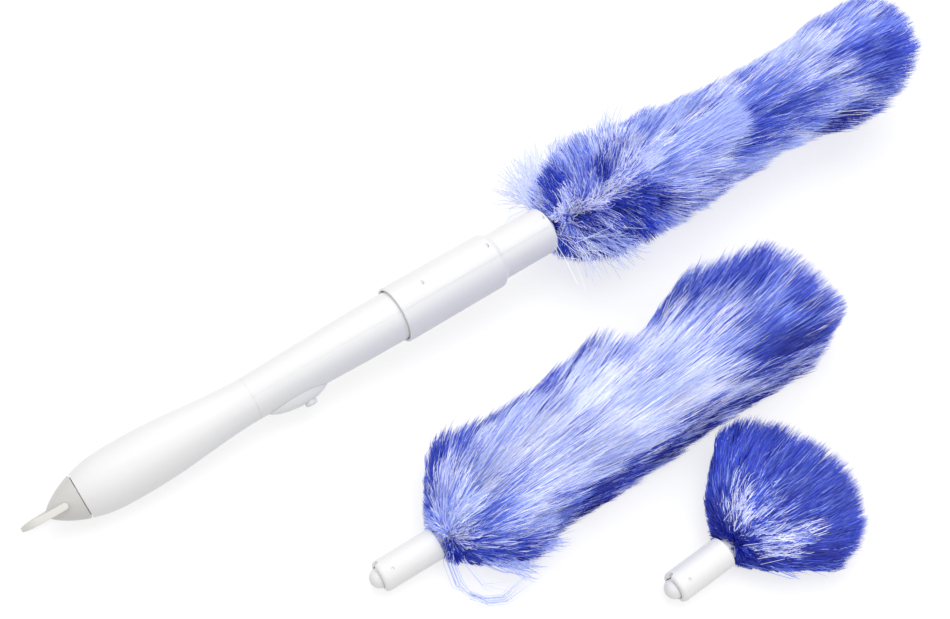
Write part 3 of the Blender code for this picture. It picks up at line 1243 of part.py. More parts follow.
clear_scene()
PARTS = new_collection("electric_spin_duster")
CUTTERS = new_collection("cutters")
main()
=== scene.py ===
"""Electric spin duster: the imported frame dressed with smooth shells, fine fibre and studio light.

Every size is in metres. The handle is built along its own axis from the tail seam, with +X towards
the parting line of its shells and +Y towards the button. A head is built from its shank's end, with
+X up and +Y towards the near side. Each finished piece then takes its place on the table.
"""

import json
import logging
import math
from dataclasses import dataclass
from enum import Enum
from functools import cache

import bmesh
import bpy
import numpy as np
from mathutils import Matrix, Vector

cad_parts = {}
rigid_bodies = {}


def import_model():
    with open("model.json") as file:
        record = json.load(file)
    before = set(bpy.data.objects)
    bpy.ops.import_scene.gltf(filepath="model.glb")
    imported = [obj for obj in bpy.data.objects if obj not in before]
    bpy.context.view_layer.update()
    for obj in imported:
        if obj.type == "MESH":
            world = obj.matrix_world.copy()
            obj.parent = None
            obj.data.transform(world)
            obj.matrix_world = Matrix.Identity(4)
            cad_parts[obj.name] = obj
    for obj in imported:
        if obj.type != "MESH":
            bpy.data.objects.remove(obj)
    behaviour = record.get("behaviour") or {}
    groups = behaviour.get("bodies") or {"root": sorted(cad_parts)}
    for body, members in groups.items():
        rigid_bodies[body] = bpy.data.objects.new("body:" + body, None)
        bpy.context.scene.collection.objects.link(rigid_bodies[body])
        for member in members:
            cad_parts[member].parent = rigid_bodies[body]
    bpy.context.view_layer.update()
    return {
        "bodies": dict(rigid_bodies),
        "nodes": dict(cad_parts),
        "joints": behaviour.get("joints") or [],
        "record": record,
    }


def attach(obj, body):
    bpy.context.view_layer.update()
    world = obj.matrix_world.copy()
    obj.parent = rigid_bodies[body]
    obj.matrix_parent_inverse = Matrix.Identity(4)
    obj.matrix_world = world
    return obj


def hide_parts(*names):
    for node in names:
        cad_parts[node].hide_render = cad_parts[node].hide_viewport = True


LOG = logging.getLogger("spin_duster")

Pair = tuple[float, float]
Triple = tuple[float, float, float]
Section = list[Pair]
Colour = Triple

REST_GAP = 0.0003
MERGE = 0.00001
SHELL_STEPS = 96
SMALL_STEPS = 48
SMOOTH_ANGLE = math.radians(32.0)
LOOSE_NOTCH_TURN = math.radians(-40.0)
WHITE_LIGHT = (1.0, 1.0, 1.0)


# Layout
@dataclass(frozen=True)
class Layout:
    """Where the handle, the loop and the three heads lie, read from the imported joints."""

    handle: Matrix
    loop: Matrix
    mounted: Matrix
    medium: Matrix
    small: Matrix

    SPINDLE_STATION = 0.2993
    SHANK_END = 0.3186
    MEDIUM_PLACE = (0.1200, -0.1452)
    MEDIUM_TURN = math.radians(-2.7)
    MEDIUM_TILT = math.radians(3.4)
    SMALL_PLACE = (0.2600, -0.2522)
    SMALL_TURN = math.radians(-1.2)
    SMALL_TILT = math.radians(5.5)
    SHANK_RADIUS = 0.0100
    SHANK_CHAMFER = 0.0028

    @classmethod
    def read(cls, joints: list[dict]) -> "Layout":
        """Works the places out from the joints.

        Args:
            joints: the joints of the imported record.

        Returns:
            The layout of the handle and the heads.
        """
        by_name = {joint["name"]: joint for joint in joints}
        along = -Vector(by_name["cap_pull"]["axis"]).normalized()
        button = -Vector(by_name["button_press"]["axis"]).normalized()
        seam = Vector(by_name["spindle_turn"]["pos_m"]) - along * cls.SPINDLE_STATION
        pivot = Vector(by_name["loop_swing"]["pos_m"])
        swing = Vector(by_name["loop_swing"]["axis"]).normalized()
        level = Vector((0.0, 0.0, 1.0))
        up = (level - along * level.dot(along)).normalized()
        return cls(
            handle=cls.axes(button.cross(along), along, seam),
            loop=cls.axes(swing, along, pivot),
            mounted=cls.axes(up, along, seam + along * cls.SHANK_END),
            medium=cls.lying(seam, cls.MEDIUM_PLACE, cls.MEDIUM_TURN, cls.MEDIUM_TILT),
            small=cls.lying(seam, cls.SMALL_PLACE, cls.SMALL_TURN, cls.SMALL_TILT),
        )

    @staticmethod
    def axes(across: Vector, along: Vector, place: Vector) -> Matrix:
        """Returns the matrix with X across, Z along and its origin at a place."""
        across = (across - along * across.dot(along)).normalized()
        return Matrix.Translation(place) @ Matrix((across, along.cross(across), along)).transposed().to_4x4()

    @classmethod
    def lying(cls, seam: Vector, place: Pair, turn: float, tilt: float) -> Matrix:
        """Places a head that lies on the table on its shank's end.

        Args:
            seam: the handle's tail seam.
            place: the head's place, measured from that seam.
            turn: its turn on the table.
            tilt: how far its axis rises from the table.

        Returns:
            The matrix of the head's own axes.
        """
        height = cls.SHANK_RADIUS * math.cos(tilt) - cls.SHANK_CHAMFER * math.sin(tilt)
        where = Vector((seam.x + place[0], seam.y + place[1], height))
        along = Matrix.Rotation(turn, 4, "Z") @ Matrix.Rotation(math.pi / 2 - tilt, 4, "Y")
        return Matrix.Translation(where) @ along @ Matrix.Rotation(math.pi, 4, "Z")


# Modelling by hand, in edit mode
def deselect() -> None:
    """Leaves edit mode and selects nothing."""
    if bpy.context.object and bpy.context.object.mode != "OBJECT":
        bpy.ops.object.mode_set(mode="OBJECT")
    bpy.ops.object.select_all(action="DESELECT")


def only(obj: bpy.types.Object) -> None:
    """Makes one object the selected and the active one.

    Args:
        obj: the object.
    """
    deselect()
    obj.select_set(True)
    bpy.context.view_layer.objects.active = obj


def settle(obj: bpy.types.Object, place: Matrix) -> None:
    """Puts a piece at its place and writes the place into its mesh.

    Args:
        obj: the piece.
        place: its place.
    """
    only(obj)
    obj.matrix_world = place
    bpy.ops.object.transform_apply(location=True, rotation=True, scale=True)


def pick(obj: bpy.types.Object, wanted) -> None:
    """Selects the corners that a test wants, and the edges and faces between them.

    Args:
        obj: the piece, in edit mode.
        wanted: the test, given a corner's place.
    """
    bm = bmesh.from_edit_mesh(obj.data)
    for vert in bm.verts:
        vert.select = bool(wanted(vert.co))
    bm.select_mode = {"VERT"}
    bm.select_flush_mode()
    bmesh.update_edit_mesh(obj.data)


def edit(obj: bpy.types.Object) -> None:
    """Opens one object for editing, with all of it selected.

    Args:
        obj: the object.
    """
    only(obj)
    bpy.ops.object.mode_set(mode="EDIT")
    bpy.ops.mesh.select_all(action="SELECT")


def resize(x: float, y: float, z: float, level: float = 0.0) -> None:
    """Resizes what is selected about a point of the axis."""
    bpy.ops.transform.resize(value=(x, y, z), center_override=(0.0, 0.0, level))


def extrude(x: float, y: float, z: float) -> None:
    """Extrudes what is selected by a step."""
    bpy.ops.mesh.extrude_region_move(TRANSFORM_OT_translate={"value": (x, y, z)})


def finish_shape(obj: bpy.types.Object, name: str, angle: float = SMOOTH_ANGLE) -> bpy.types.Object:
    """Names a piece, turns its faces outwards and shades it smooth below an angle.

    Args:
        obj: the piece.
        name: its name.
        angle: the largest angle that is shaded smooth.

    Returns:
        The same piece.
    """
    edit(obj)
    bpy.ops.mesh.remove_doubles(threshold=MERGE)
    bpy.ops.mesh.normals_make_consistent(inside=False)
    only(obj)
    bpy.ops.object.shade_smooth_by_angle(angle=angle)
    obj.name = name
    obj.data.name = name
    return obj


def turned(name: str, section: Section, steps: int = SHELL_STEPS) -> bpy.types.Object:
    """Turns a section by extruding a ring from point to point.

    Args:
        name: name of the piece.
        section: points (radius, station). A solid one starts and ends on the axis; a hollow one
            comes back to its first point.
        steps: facets round the axis.

    Returns:
        The closed piece, along +Z.
    """
    solid = section[0][0] == 0.0
    rings = section[1:-1] if solid else list(section) + [section[0]]
    deselect()
    bpy.ops.mesh.primitive_circle_add(vertices=steps, radius=rings[0][0], fill_type="NOTHING")
    obj = bpy.context.object
    edit(obj)
    bpy.ops.transform.translate(value=(0.0, 0.0, rings[0][1]))
    for (radius, station), (wider, farther) in zip(rings, rings[1:]):
        extrude(0.0, 0.0, farther - station)
        if wider != radius:
            resize(wider / radius, wider / radius, 1.0, farther)
    if solid:
        close_pole(obj, rings[-1], section[-1][1])
        close_pole(obj, rings[0], section[0][1])
    return finish_shape(obj, name)


def close_pole(obj: bpy.types.Object, ring: Pair, station: float) -> None:
    """Closes a ring with a fan to one point on the axis.

    Args:
        obj: the piece, in edit mode.
        ring: the ring's radius and station.
        station: the point's station.
    """
    radius, level = ring
    pick(obj, lambda co: abs(co.z - level) < MERGE and abs(math.hypot(co.x, co.y) - radius) < MERGE)
    extrude(0.0, 0.0, station - level)
    bpy.ops.mesh.merge(type="CENTER")


def wall(outer: Section, inner: Section) -> Section:
    """Returns a hollow section from its outer and inner sides, both given from tail to nose."""
    return list(reversed(outer)) + list(inner)


def rod(radius: float, low: Vector, high: Vector, steps: int = SMALL_STEPS) -> bpy.types.Object:
    """Makes a straight cutter or peg between two points.

    Args:
        radius: its radius.
        low: one end.
        high: the other end.
        steps: facets round it.

    Returns:
        The rod, with its place in its mesh.
    """
    deselect()
    run = Vector(high) - Vector(low)
    bpy.ops.mesh.primitive_cylinder_add(vertices=steps, radius=radius, depth=run.length)
    obj = bpy.context.object
    middle = (Vector(high) + Vector(low)) / 2
    settle(obj, Matrix.Translation(middle) @ run.to_track_quat("Z", "Y").to_matrix().to_4x4())
    return obj


def block(low: Vector, high: Vector) -> bpy.types.Object:
    """Makes a box between two corners, as a cutter.

    Args:
        low: its low corner.
        high: its high corner.

    Returns:
        The box, with its place in its mesh.
    """
    deselect()
    bpy.ops.mesh.primitive_cube_add(size=1.0)
    size = Vector(high) - Vector(low)
    settle(bpy.context.object, Matrix.Translation((Vector(high) + Vector(low)) / 2)
           @ Matrix.Diagonal((*size, 1.0)))
    return bpy.context.object


def change(obj: bpy.types.Object, kind: str, **settings) -> None:
    """Adds a modifier to a piece and applies it.

    Args:
        obj: the piece.
        kind: the modifier's kind.
        **settings: its settings.
    """
    only(obj)
    modifier = obj.modifiers.new(kind.lower(), kind)
    for label, setting in settings.items():
        setattr(modifier, label, setting)
    bpy.ops.object.modifier_apply(modifier=modifier.name)


def carve(obj: bpy.types.Object, tool: bpy.types.Object, how: str = "DIFFERENCE") -> None:
    """Cuts a tool out of a piece, or joins it on, and removes the tool."""
    change(obj, "BOOLEAN", operation=how, solver="EXACT", object=tool)
    bpy.data.objects.remove(tool, do_unlink=True)


def soften(obj: bpy.types.Object, width: float, segments: int = 2, angle: float = math.radians(38.0)) -> None:
    """Rounds the sharp edges of a piece.

    Args:
        obj: the piece.
        width: width of the rounding.
        segments: its number of facets.
        angle: the smallest angle that counts as sharp.
    """
    change(obj, "BEVEL", width=width, segments=segments, limit_method="ANGLE", angle_limit=angle,
           use_clamp_overlap=True)


def run_of(form, low: float, high: float, steps: int) -> Section:
    """Returns the points (radius, station) of a form between two stations."""
    stations = [low + (high - low) * i / steps for i in range(steps + 1)]
    return [(form(station), station) for station in stations]


def rounded(corner: Pair, start: Pair, end: Pair, steps: int = 6) -> Section:
    """Rounds a corner of a section.

    Args:
        corner: the corner's radius and station.
        start: where the rounding leaves the first side.
        end: where it meets the second side.
        steps: its facets.

    Returns:
        The points of the rounding.
    """
    points = []
    for i in range(steps + 1):
        t = i / steps
        points.append(tuple((1 - t) ** 2 * a + 2 * t * (1 - t) * c + t ** 2 * b
                            for a, c, b in zip(start, corner, end)))
    return points


# Shader node groups that the finishes share
def put(tree: bpy.types.NodeTree, socket: bpy.types.NodeSocket, value) -> None:
    """Feeds an input from another socket, or sets it to a plain value.

    Args:
        tree: the tree that holds both.
        socket: the input.
        value: the other socket or the plain value.
    """
    if isinstance(value, bpy.types.NodeSocket):
        tree.links.new(value, socket)
    else:
        socket.default_value = value


def add_node(tree: bpy.types.NodeTree, kind: str, inputs: dict | None = None, **settings) -> bpy.types.Node:
    """Adds a shader node.

    Args:
        tree: the tree that gets it.
        kind: its kind.
        inputs: a socket or a plain value for each input that changes.
        **settings: its own settings.

    Returns:
        The node.
    """
    node = tree.nodes.new("ShaderNode" + kind)
    for label, setting in settings.items():
        setattr(node, label, setting)
    for label, value in (inputs or {}).items():
        put(tree, node.inputs[label], value)
    return node


def new_group(name: str, inputs: dict[str, float], outputs: list[str]) -> tuple:
    """Starts a shader node group.

    Args:
        name: name of the group.
        inputs: its number inputs with their first values.
        outputs: its number outputs.

    Returns:
        The tree, its input node and its output node.
    """
    tree = bpy.data.node_groups.new(name, "ShaderNodeTree")
    for label, value in inputs.items():
        socket = tree.interface.new_socket(label, in_out="INPUT", socket_type="NodeSocketFloat")
        socket.default_value = value
    for label in outputs:
        tree.interface.new_socket(label, in_out="OUTPUT", socket_type="NodeSocketFloat")
    return tree, tree.nodes.new("NodeGroupInput"), tree.nodes.new("NodeGroupOutput")


def noise_in(tree: bpy.types.NodeTree, scale, detail: float = 3.0, roughness: float = 0.55,
             stretch: Colour = (1.0, 1.0, 1.0)) -> bpy.types.NodeSocket:
    """Adds noise on object coordinates.

    Args:
        tree: the tree that gets it.
        scale: its scale, as a number or a socket.
        detail: its octaves.
        roughness: how strong the finer octaves are.
        stretch: scale along each axis.

    Returns:
        The socket with the noise.
    """
    coordinates = add_node(tree, "TexCoord")
    mapping = add_node(tree, "Mapping", {"Vector": coordinates.outputs["Object"], "Scale": stretch})
    noise = add_node(tree, "TexNoise", {"Vector": mapping.outputs["Vector"], "Scale": scale,
                                        "Detail": detail, "Roughness": roughness})
    return noise.outputs["Fac"]


def spread(tree: bpy.types.NodeTree, value: bpy.types.NodeSocket, low: float = 0.0, high: float = 1.0,
           to_low=0.0, to_high=1.0) -> bpy.types.NodeSocket:
    """Maps a value from one range to another.

    Args:
        tree: the tree.
        value: the value's socket.
        low: start of the range it has.
        high: end of that range.
        to_low: start of the new range, a number or a socket.
        to_high: end of the new range, a number or a socket.

    Returns:
        The socket with the mapped value.
    """
    node = add_node(tree, "MapRange", {"Value": value, "From Min": low, "From Max": high,
                                       "To Min": to_low, "To Max": to_high})
    return node.outputs["Result"]


@cache
def moulded_grain() -> bpy.types.NodeTree:
    """Builds the fine grain and slow waviness of a moulded surface.

    Returns:
        The group, which puts out a height.
    """
    tree, given, result = new_group("moulded_grain", {"Scale": 2500.0, "Waves": 45.0}, ["Height"])
    fine = noise_in(tree, given.outputs["Scale"])
    slow = noise_in(tree, given.outputs["Waves"], 1.0)
    total = add_node(tree, "Math", {0: fine, 1: 0.15, 2: slow}, operation="MULTIPLY_ADD")
    put(tree, result.inputs["Height"], total.outputs[0])
    return tree


@cache
def handling_marks() -> bpy.types.NodeTree:
    """Builds the worn and wiped patches of a handled surface.

    Returns:
        The group, which puts out a roughness and a mask.
    """
    tree, given, result = new_group("handling_marks", {"Scale": 30.0, "Smooth": 0.3, "Rough": 0.4},
                                    ["Roughness", "Mask"])
    mask = spread(tree, noise_in(tree, given.outputs["Scale"], 5.0, 0.6), 0.35, 0.68)
    rough = spread(tree, mask, to_low=given.outputs["Smooth"], to_high=given.outputs["Rough"])
    put(tree, result.inputs["Roughness"], rough)
    put(tree, result.inputs["Mask"], mask)
    return tree


@cache
def brushed_lines() -> bpy.types.NodeTree:
    """Builds fine drawn lines on metal.

    Returns:
        The group, which puts out a roughness and a height.
    """
    tree, given, result = new_group("brushed_lines", {"Scale": 900.0, "Smooth": 0.2, "Rough": 0.4},
                                    ["Roughness", "Height"])
    lines = noise_in(tree, given.outputs["Scale"], 2.0, 0.5, (0.06, 1.0, 1.0))
    rough = spread(tree, lines, 0.3, 0.7, given.outputs["Smooth"], given.outputs["Rough"])
    put(tree, result.inputs["Roughness"], rough)
    put(tree, result.inputs["Height"], lines)
    return tree


class Surface:
    """A material being built: its tree, its Principled shader and short ways to add to them."""

    def __init__(self, name: str) -> None:
        """Starts a material.

        Args:
            name: name of the material.
        """
        self.material = bpy.data.materials.new(name)
        self.material.use_nodes = True
        self.tree = self.material.node_tree
        self.shader = self.tree.nodes["Principled BSDF"]

    def node(self, kind: str, inputs: dict | None = None, **settings) -> bpy.types.Node:
        """Adds a node to the material's tree."""
        return add_node(self.tree, kind, inputs, **settings)

    def group(self, tree: bpy.types.NodeTree, **values: float) -> bpy.types.Node:
        """Places a shared group with its own values."""
        return self.node("Group", values, node_tree=tree)

    def blend(self, first: Colour, second: Colour, share: bpy.types.NodeSocket) -> bpy.types.NodeSocket:
        """Blends two colours by a socket and returns the socket of the result."""
        mix = self.node("Mix", {0: share, 6: (*first, 1.0), 7: (*second, 1.0)}, data_type="RGBA")
        return mix.outputs[2]

    def relief(self, height: bpy.types.NodeSocket, strength: float, distance: float) -> None:
        """Feeds a height to the shader's normal.

        Args:
            height: the height's socket.
            strength: strength of the bump.
            distance: its depth.
        """
        bump = self.node("Bump", {"Height": height, "Strength": strength, "Distance": distance})
        self.finish(Normal=bump.outputs["Normal"])

    def finish(self, **values) -> bpy.types.Material:
        """Feeds or sets inputs of the shader and returns the material.

        Args:
            **values: a socket or a plain value for each input; an underscore stands for a space.

        Returns:
            The material.
        """
        for label, value in values.items():
            put(self.tree, self.shader.inputs[label.replace("_", " ")], value)
        return self.material


# Finishes
@dataclass(frozen=True)
class PlasticFinish:
    """Moulded plastic: a body colour that drifts a little, wiped patches and a fine grain."""

    name: str
    colour: Colour
    drift: Colour
    smooth: float = 0.28
    rough: float = 0.40
    grain: float = 0.06
    coat: float = 0.0

    GRAIN_DEPTH = 0.0004

    def material(self) -> bpy.types.Material:
        """Builds the material of this finish.

        Returns:
            The material.
        """
        surface = Surface(self.name)
        marks = surface.group(handling_marks(), Scale=38.0, Smooth=self.smooth, Rough=self.rough)
        drift = spread(surface.tree, noise_in(surface.tree, 9.0, 2.0), 0.3, 0.75)
        grain = surface.group(moulded_grain())
        surface.relief(grain.outputs["Height"], self.grain, self.GRAIN_DEPTH)
        return surface.finish(Base_Color=surface.blend(self.colour, self.drift, drift),
                              Roughness=marks.outputs["Roughness"],
                              Coat_Weight=self.coat, Coat_Roughness=0.12, IOR=1.47)


@dataclass(frozen=True)
class MetalFinish:
    """Drawn or rolled metal with fine lines and a slight tarnish."""

    name: str
    colour: Colour
    tarnish: Colour
    smooth: float = 0.20
    rough: float = 0.42

    LINE_DEPTH = 0.0002

    def material(self) -> bpy.types.Material:
        """Builds the material of this finish.

        Returns:
            The material.
        """
        surface = Surface(self.name)
        lines = surface.group(brushed_lines(), Smooth=self.smooth, Rough=self.rough)
        marks = surface.group(handling_marks(), Scale=60.0)
        surface.relief(lines.outputs["Height"], 0.12, self.LINE_DEPTH)
        return surface.finish(Base_Color=surface.blend(self.colour, self.tarnish, marks.outputs["Mask"]),
                              Roughness=lines.outputs["Roughness"], Metallic=1.0)


@dataclass(frozen=True)
class BandedFinish:
    """A body colour crossed by fine bands, as on a winding or a board with its traces."""

    name: str
    colour: Colour
    bands: Colour
    scale: float
    metallic: float = 0.0
    smooth: float = 0.3
    rough: float = 0.5

    BAND_DEPTH = 0.0001

    def material(self) -> bpy.types.Material:
        """Builds the material of this finish.

        Returns:
            The material.
        """
        surface = Surface(self.name)
        coordinates = surface.node("TexCoord")
        wave = surface.node("TexWave", {"Vector": coordinates.outputs["Object"], "Scale": self.scale,
                                        "Distortion": 1.5, "Detail": 1.0})
        share = spread(surface.tree, wave.outputs["Fac"], 0.55, 0.75)
        marks = surface.group(handling_marks(), Scale=80.0, Smooth=self.smooth, Rough=self.rough)
        surface.relief(share, 0.3, self.BAND_DEPTH)
        return surface.finish(Base_Color=surface.blend(self.colour, self.bands, share),
                              Roughness=marks.outputs["Roughness"], Metallic=self.metallic)


@dataclass(frozen=True)
class FibreFinish:
    """Fine nylon fibre that takes its tint from the piece, gleams along its length and gives off a painted
    glow that lifts its pale tints.
    """

    name: str
    smooth: float = 0.36
    rough: float = 0.58
    # Strength of the painted glow that pale fibres give off; the fibre is no lamp.
    glow: float = 0.28

    TINT = "fibre_tint"
    GLOW_TINT = (0.66, 0.66, 0.90)
    STREAK = (0.86, 0.86, 0.90)

    def material(self) -> bpy.types.Material:
        """Builds the material of this finish.

        Returns:
            The material.
        """
        surface = Surface(self.name)
        tint = surface.node("Attribute", attribute_name=self.TINT).outputs["Color"]
        streaks = spread(surface.tree, noise_in(surface.tree, 420.0, 2.0), 0.3, 0.7)
        grey = surface.blend(self.STREAK, WHITE_LIGHT, streaks)
        light = surface.node("Mix", {0: 1.0, 6: tint, 7: grey}, data_type="RGBA", blend_type="MULTIPLY")
        marks = surface.group(handling_marks(), Scale=150.0, Smooth=self.smooth, Rough=self.rough)
        # Painted glow: each fibre emits light in its own tint, more for pale tints (scaled by the red part),
        # to brighten the fluff.
        red = surface.node("SeparateColor", {0: tint}).outputs[0]
        paleness = surface.node("VectorMath", {0: self.GLOW_TINT, "Scale": red}, operation="SCALE")
        painted_glow = surface.node("VectorMath", {0: tint, 1: paleness.outputs[0]}, operation="MULTIPLY")
        return surface.finish(Base_Color=light.outputs[2], Roughness=marks.outputs["Roughness"],
                              Emission_Color=painted_glow.outputs[0], Emission_Strength=self.glow,
                              IOR=1.53, Specular_IOR_Level=0.3)


FINISHES = (
    PlasticFinish("white_plastic", (0.835, 0.834, 0.832), (0.812, 0.811, 0.812)),
    PlasticFinish("cap_plastic", (0.665, 0.655, 0.635), (0.635, 0.625, 0.605), 0.32, 0.44),
    PlasticFinish("loop_plastic", (0.76, 0.75, 0.71), (0.72, 0.71, 0.66), 0.30, 0.42),
    PlasticFinish("button_plastic", (0.74, 0.75, 0.77), (0.71, 0.72, 0.74), 0.10, 0.20, 0.02, 0.4),
    PlasticFinish("gear_plastic", (0.80, 0.77, 0.68), (0.74, 0.70, 0.60), 0.40, 0.55),
    PlasticFinish("dark_plastic", (0.030, 0.030, 0.034), (0.045, 0.044, 0.046), 0.42, 0.60),
    BandedFinish("board_green", (0.020, 0.130, 0.055), (0.035, 0.200, 0.085), 260.0),
    PlasticFinish("red_sleeve", (0.42, 0.018, 0.016), (0.34, 0.014, 0.013), 0.40, 0.55),
    MetalFinish("cell_jacket", (0.09, 0.10, 0.12), (0.13, 0.14, 0.16), 0.25, 0.40),
    MetalFinish("steel", (0.56, 0.56, 0.58), (0.45, 0.44, 0.43)),
    MetalFinish("brass", (0.72, 0.52, 0.22), (0.55, 0.38, 0.16)),
    BandedFinish("copper", (0.62, 0.24, 0.11), (0.36, 0.12, 0.05), 520.0, 0.9),
    PlasticFinish("ferrite", (0.035, 0.035, 0.038), (0.055, 0.053, 0.052), 0.60, 0.80, 0.4),
    PlasticFinish("rubber", (0.022, 0.022, 0.022), (0.035, 0.034, 0.033), 0.70, 0.85, 0.3),
    FibreFinish("pale_fluff"),
    FibreFinish("mixed_fluff"),
    FibreFinish("royal_fluff", 0.30, 0.50),
)


class Workshop:
    """Holds the layout and the materials, and hands each finished piece over to the frame."""

    def __init__(self, frame: dict) -> None:
        """Reads the frame and builds every material.
        """
        self.frame = frame
        self.layout = Layout.read(frame["joints"])
        self.materials = {finish.name: finish.material() for finish in FINISHES}

    def hand_over(self, piece: bpy.types.Object, body: str, slot: str, *nodes: str,
                  place: Matrix | None = None) -> None:
        """Dresses a finished piece and lets it ride on its body in place of its nodes.

        Args:
            piece: the piece.
            body: the body it rides on.
            slot: the slot of its finish.
            *nodes: the frame's nodes that it stands for.
            place: its place, unless that is in its mesh already.
        """
        if place is not None:
            settle(piece, place)
        deselect()
        piece.data.materials.clear()
        piece.data.materials.append(self.materials[slot])
        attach(piece, body)
        if nodes:
            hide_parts(*nodes)
        LOG.info("%s rides on %s with %d faces", piece.name, body, len(piece.data.polygons))

    def dress_frame(self) -> None:
        """Gives every node of the frame that still shows the better material of its slot."""
        slots = {row["node"]: row["material_slot"] for row in self.frame["record"]["subparts"]}
        for name, node in self.frame["nodes"].items():
            if not node.hide_render:
                node.data.materials.clear()
                node.data.materials.append(self.materials[slots[name]])
                LOG.info("%s keeps its shape in %s", name, slots[name])


# Handle
@dataclass(frozen=True)
class HandleForm:
    """Outer form of the handle, measured along its axis from the tail seam."""

    cap_length: float = 0.0230
    seam_radius: float = 0.0152
    belly_radius: float = 0.0195
    belly_station: float = 0.0390
    waist_radius: float = 0.01485
    waist_station: float = 0.1168
    bore_radius: float = 0.0135
    barrel_front_radius: float = 0.01785
    collar_start: float = 0.2293
    collar_radius: float = 0.0205
    collar_end: float = 0.3151
    nose_radius: float = 0.0171
    nose_end: float = 0.3586

    def cap(self, depth: float) -> float:
        """Returns the radius of the tail cap at a depth behind the seam."""
        share = min(depth / self.cap_length, 1.0)
        return self.seam_radius * (1.0 - share ** 1.2) ** 0.7

    def grip(self, station: float) -> float:
        """Works out the outer form of the grip.

        Args:
            station: a station on it.

        Returns:
            The radius there.
        """
        if station < self.belly_station:
            share = (self.belly_station - station) / self.belly_station
            return self.belly_radius - (self.belly_radius - self.seam_radius) * share ** 3.5
        share = (station - self.belly_station) / (self.waist_station - self.belly_station)
        swell = 0.5 + 0.5 * math.cos(math.pi * share)
        return self.waist_radius + (self.belly_radius - self.waist_radius) * swell

    def barrel(self, station: float) -> float:
        """Works out the outer form of the barrel.

        Args:
            station: a station on it.

        Returns:
            The radius there.
        """
        length = self.collar_start - self.waist_station
        share = min(max((station - self.waist_station) / length, 0.0), 1.0)
        growth = math.sin(math.pi / 2 * share) ** 1.2
        return self.waist_radius + (self.barrel_front_radius - self.waist_radius) * growth


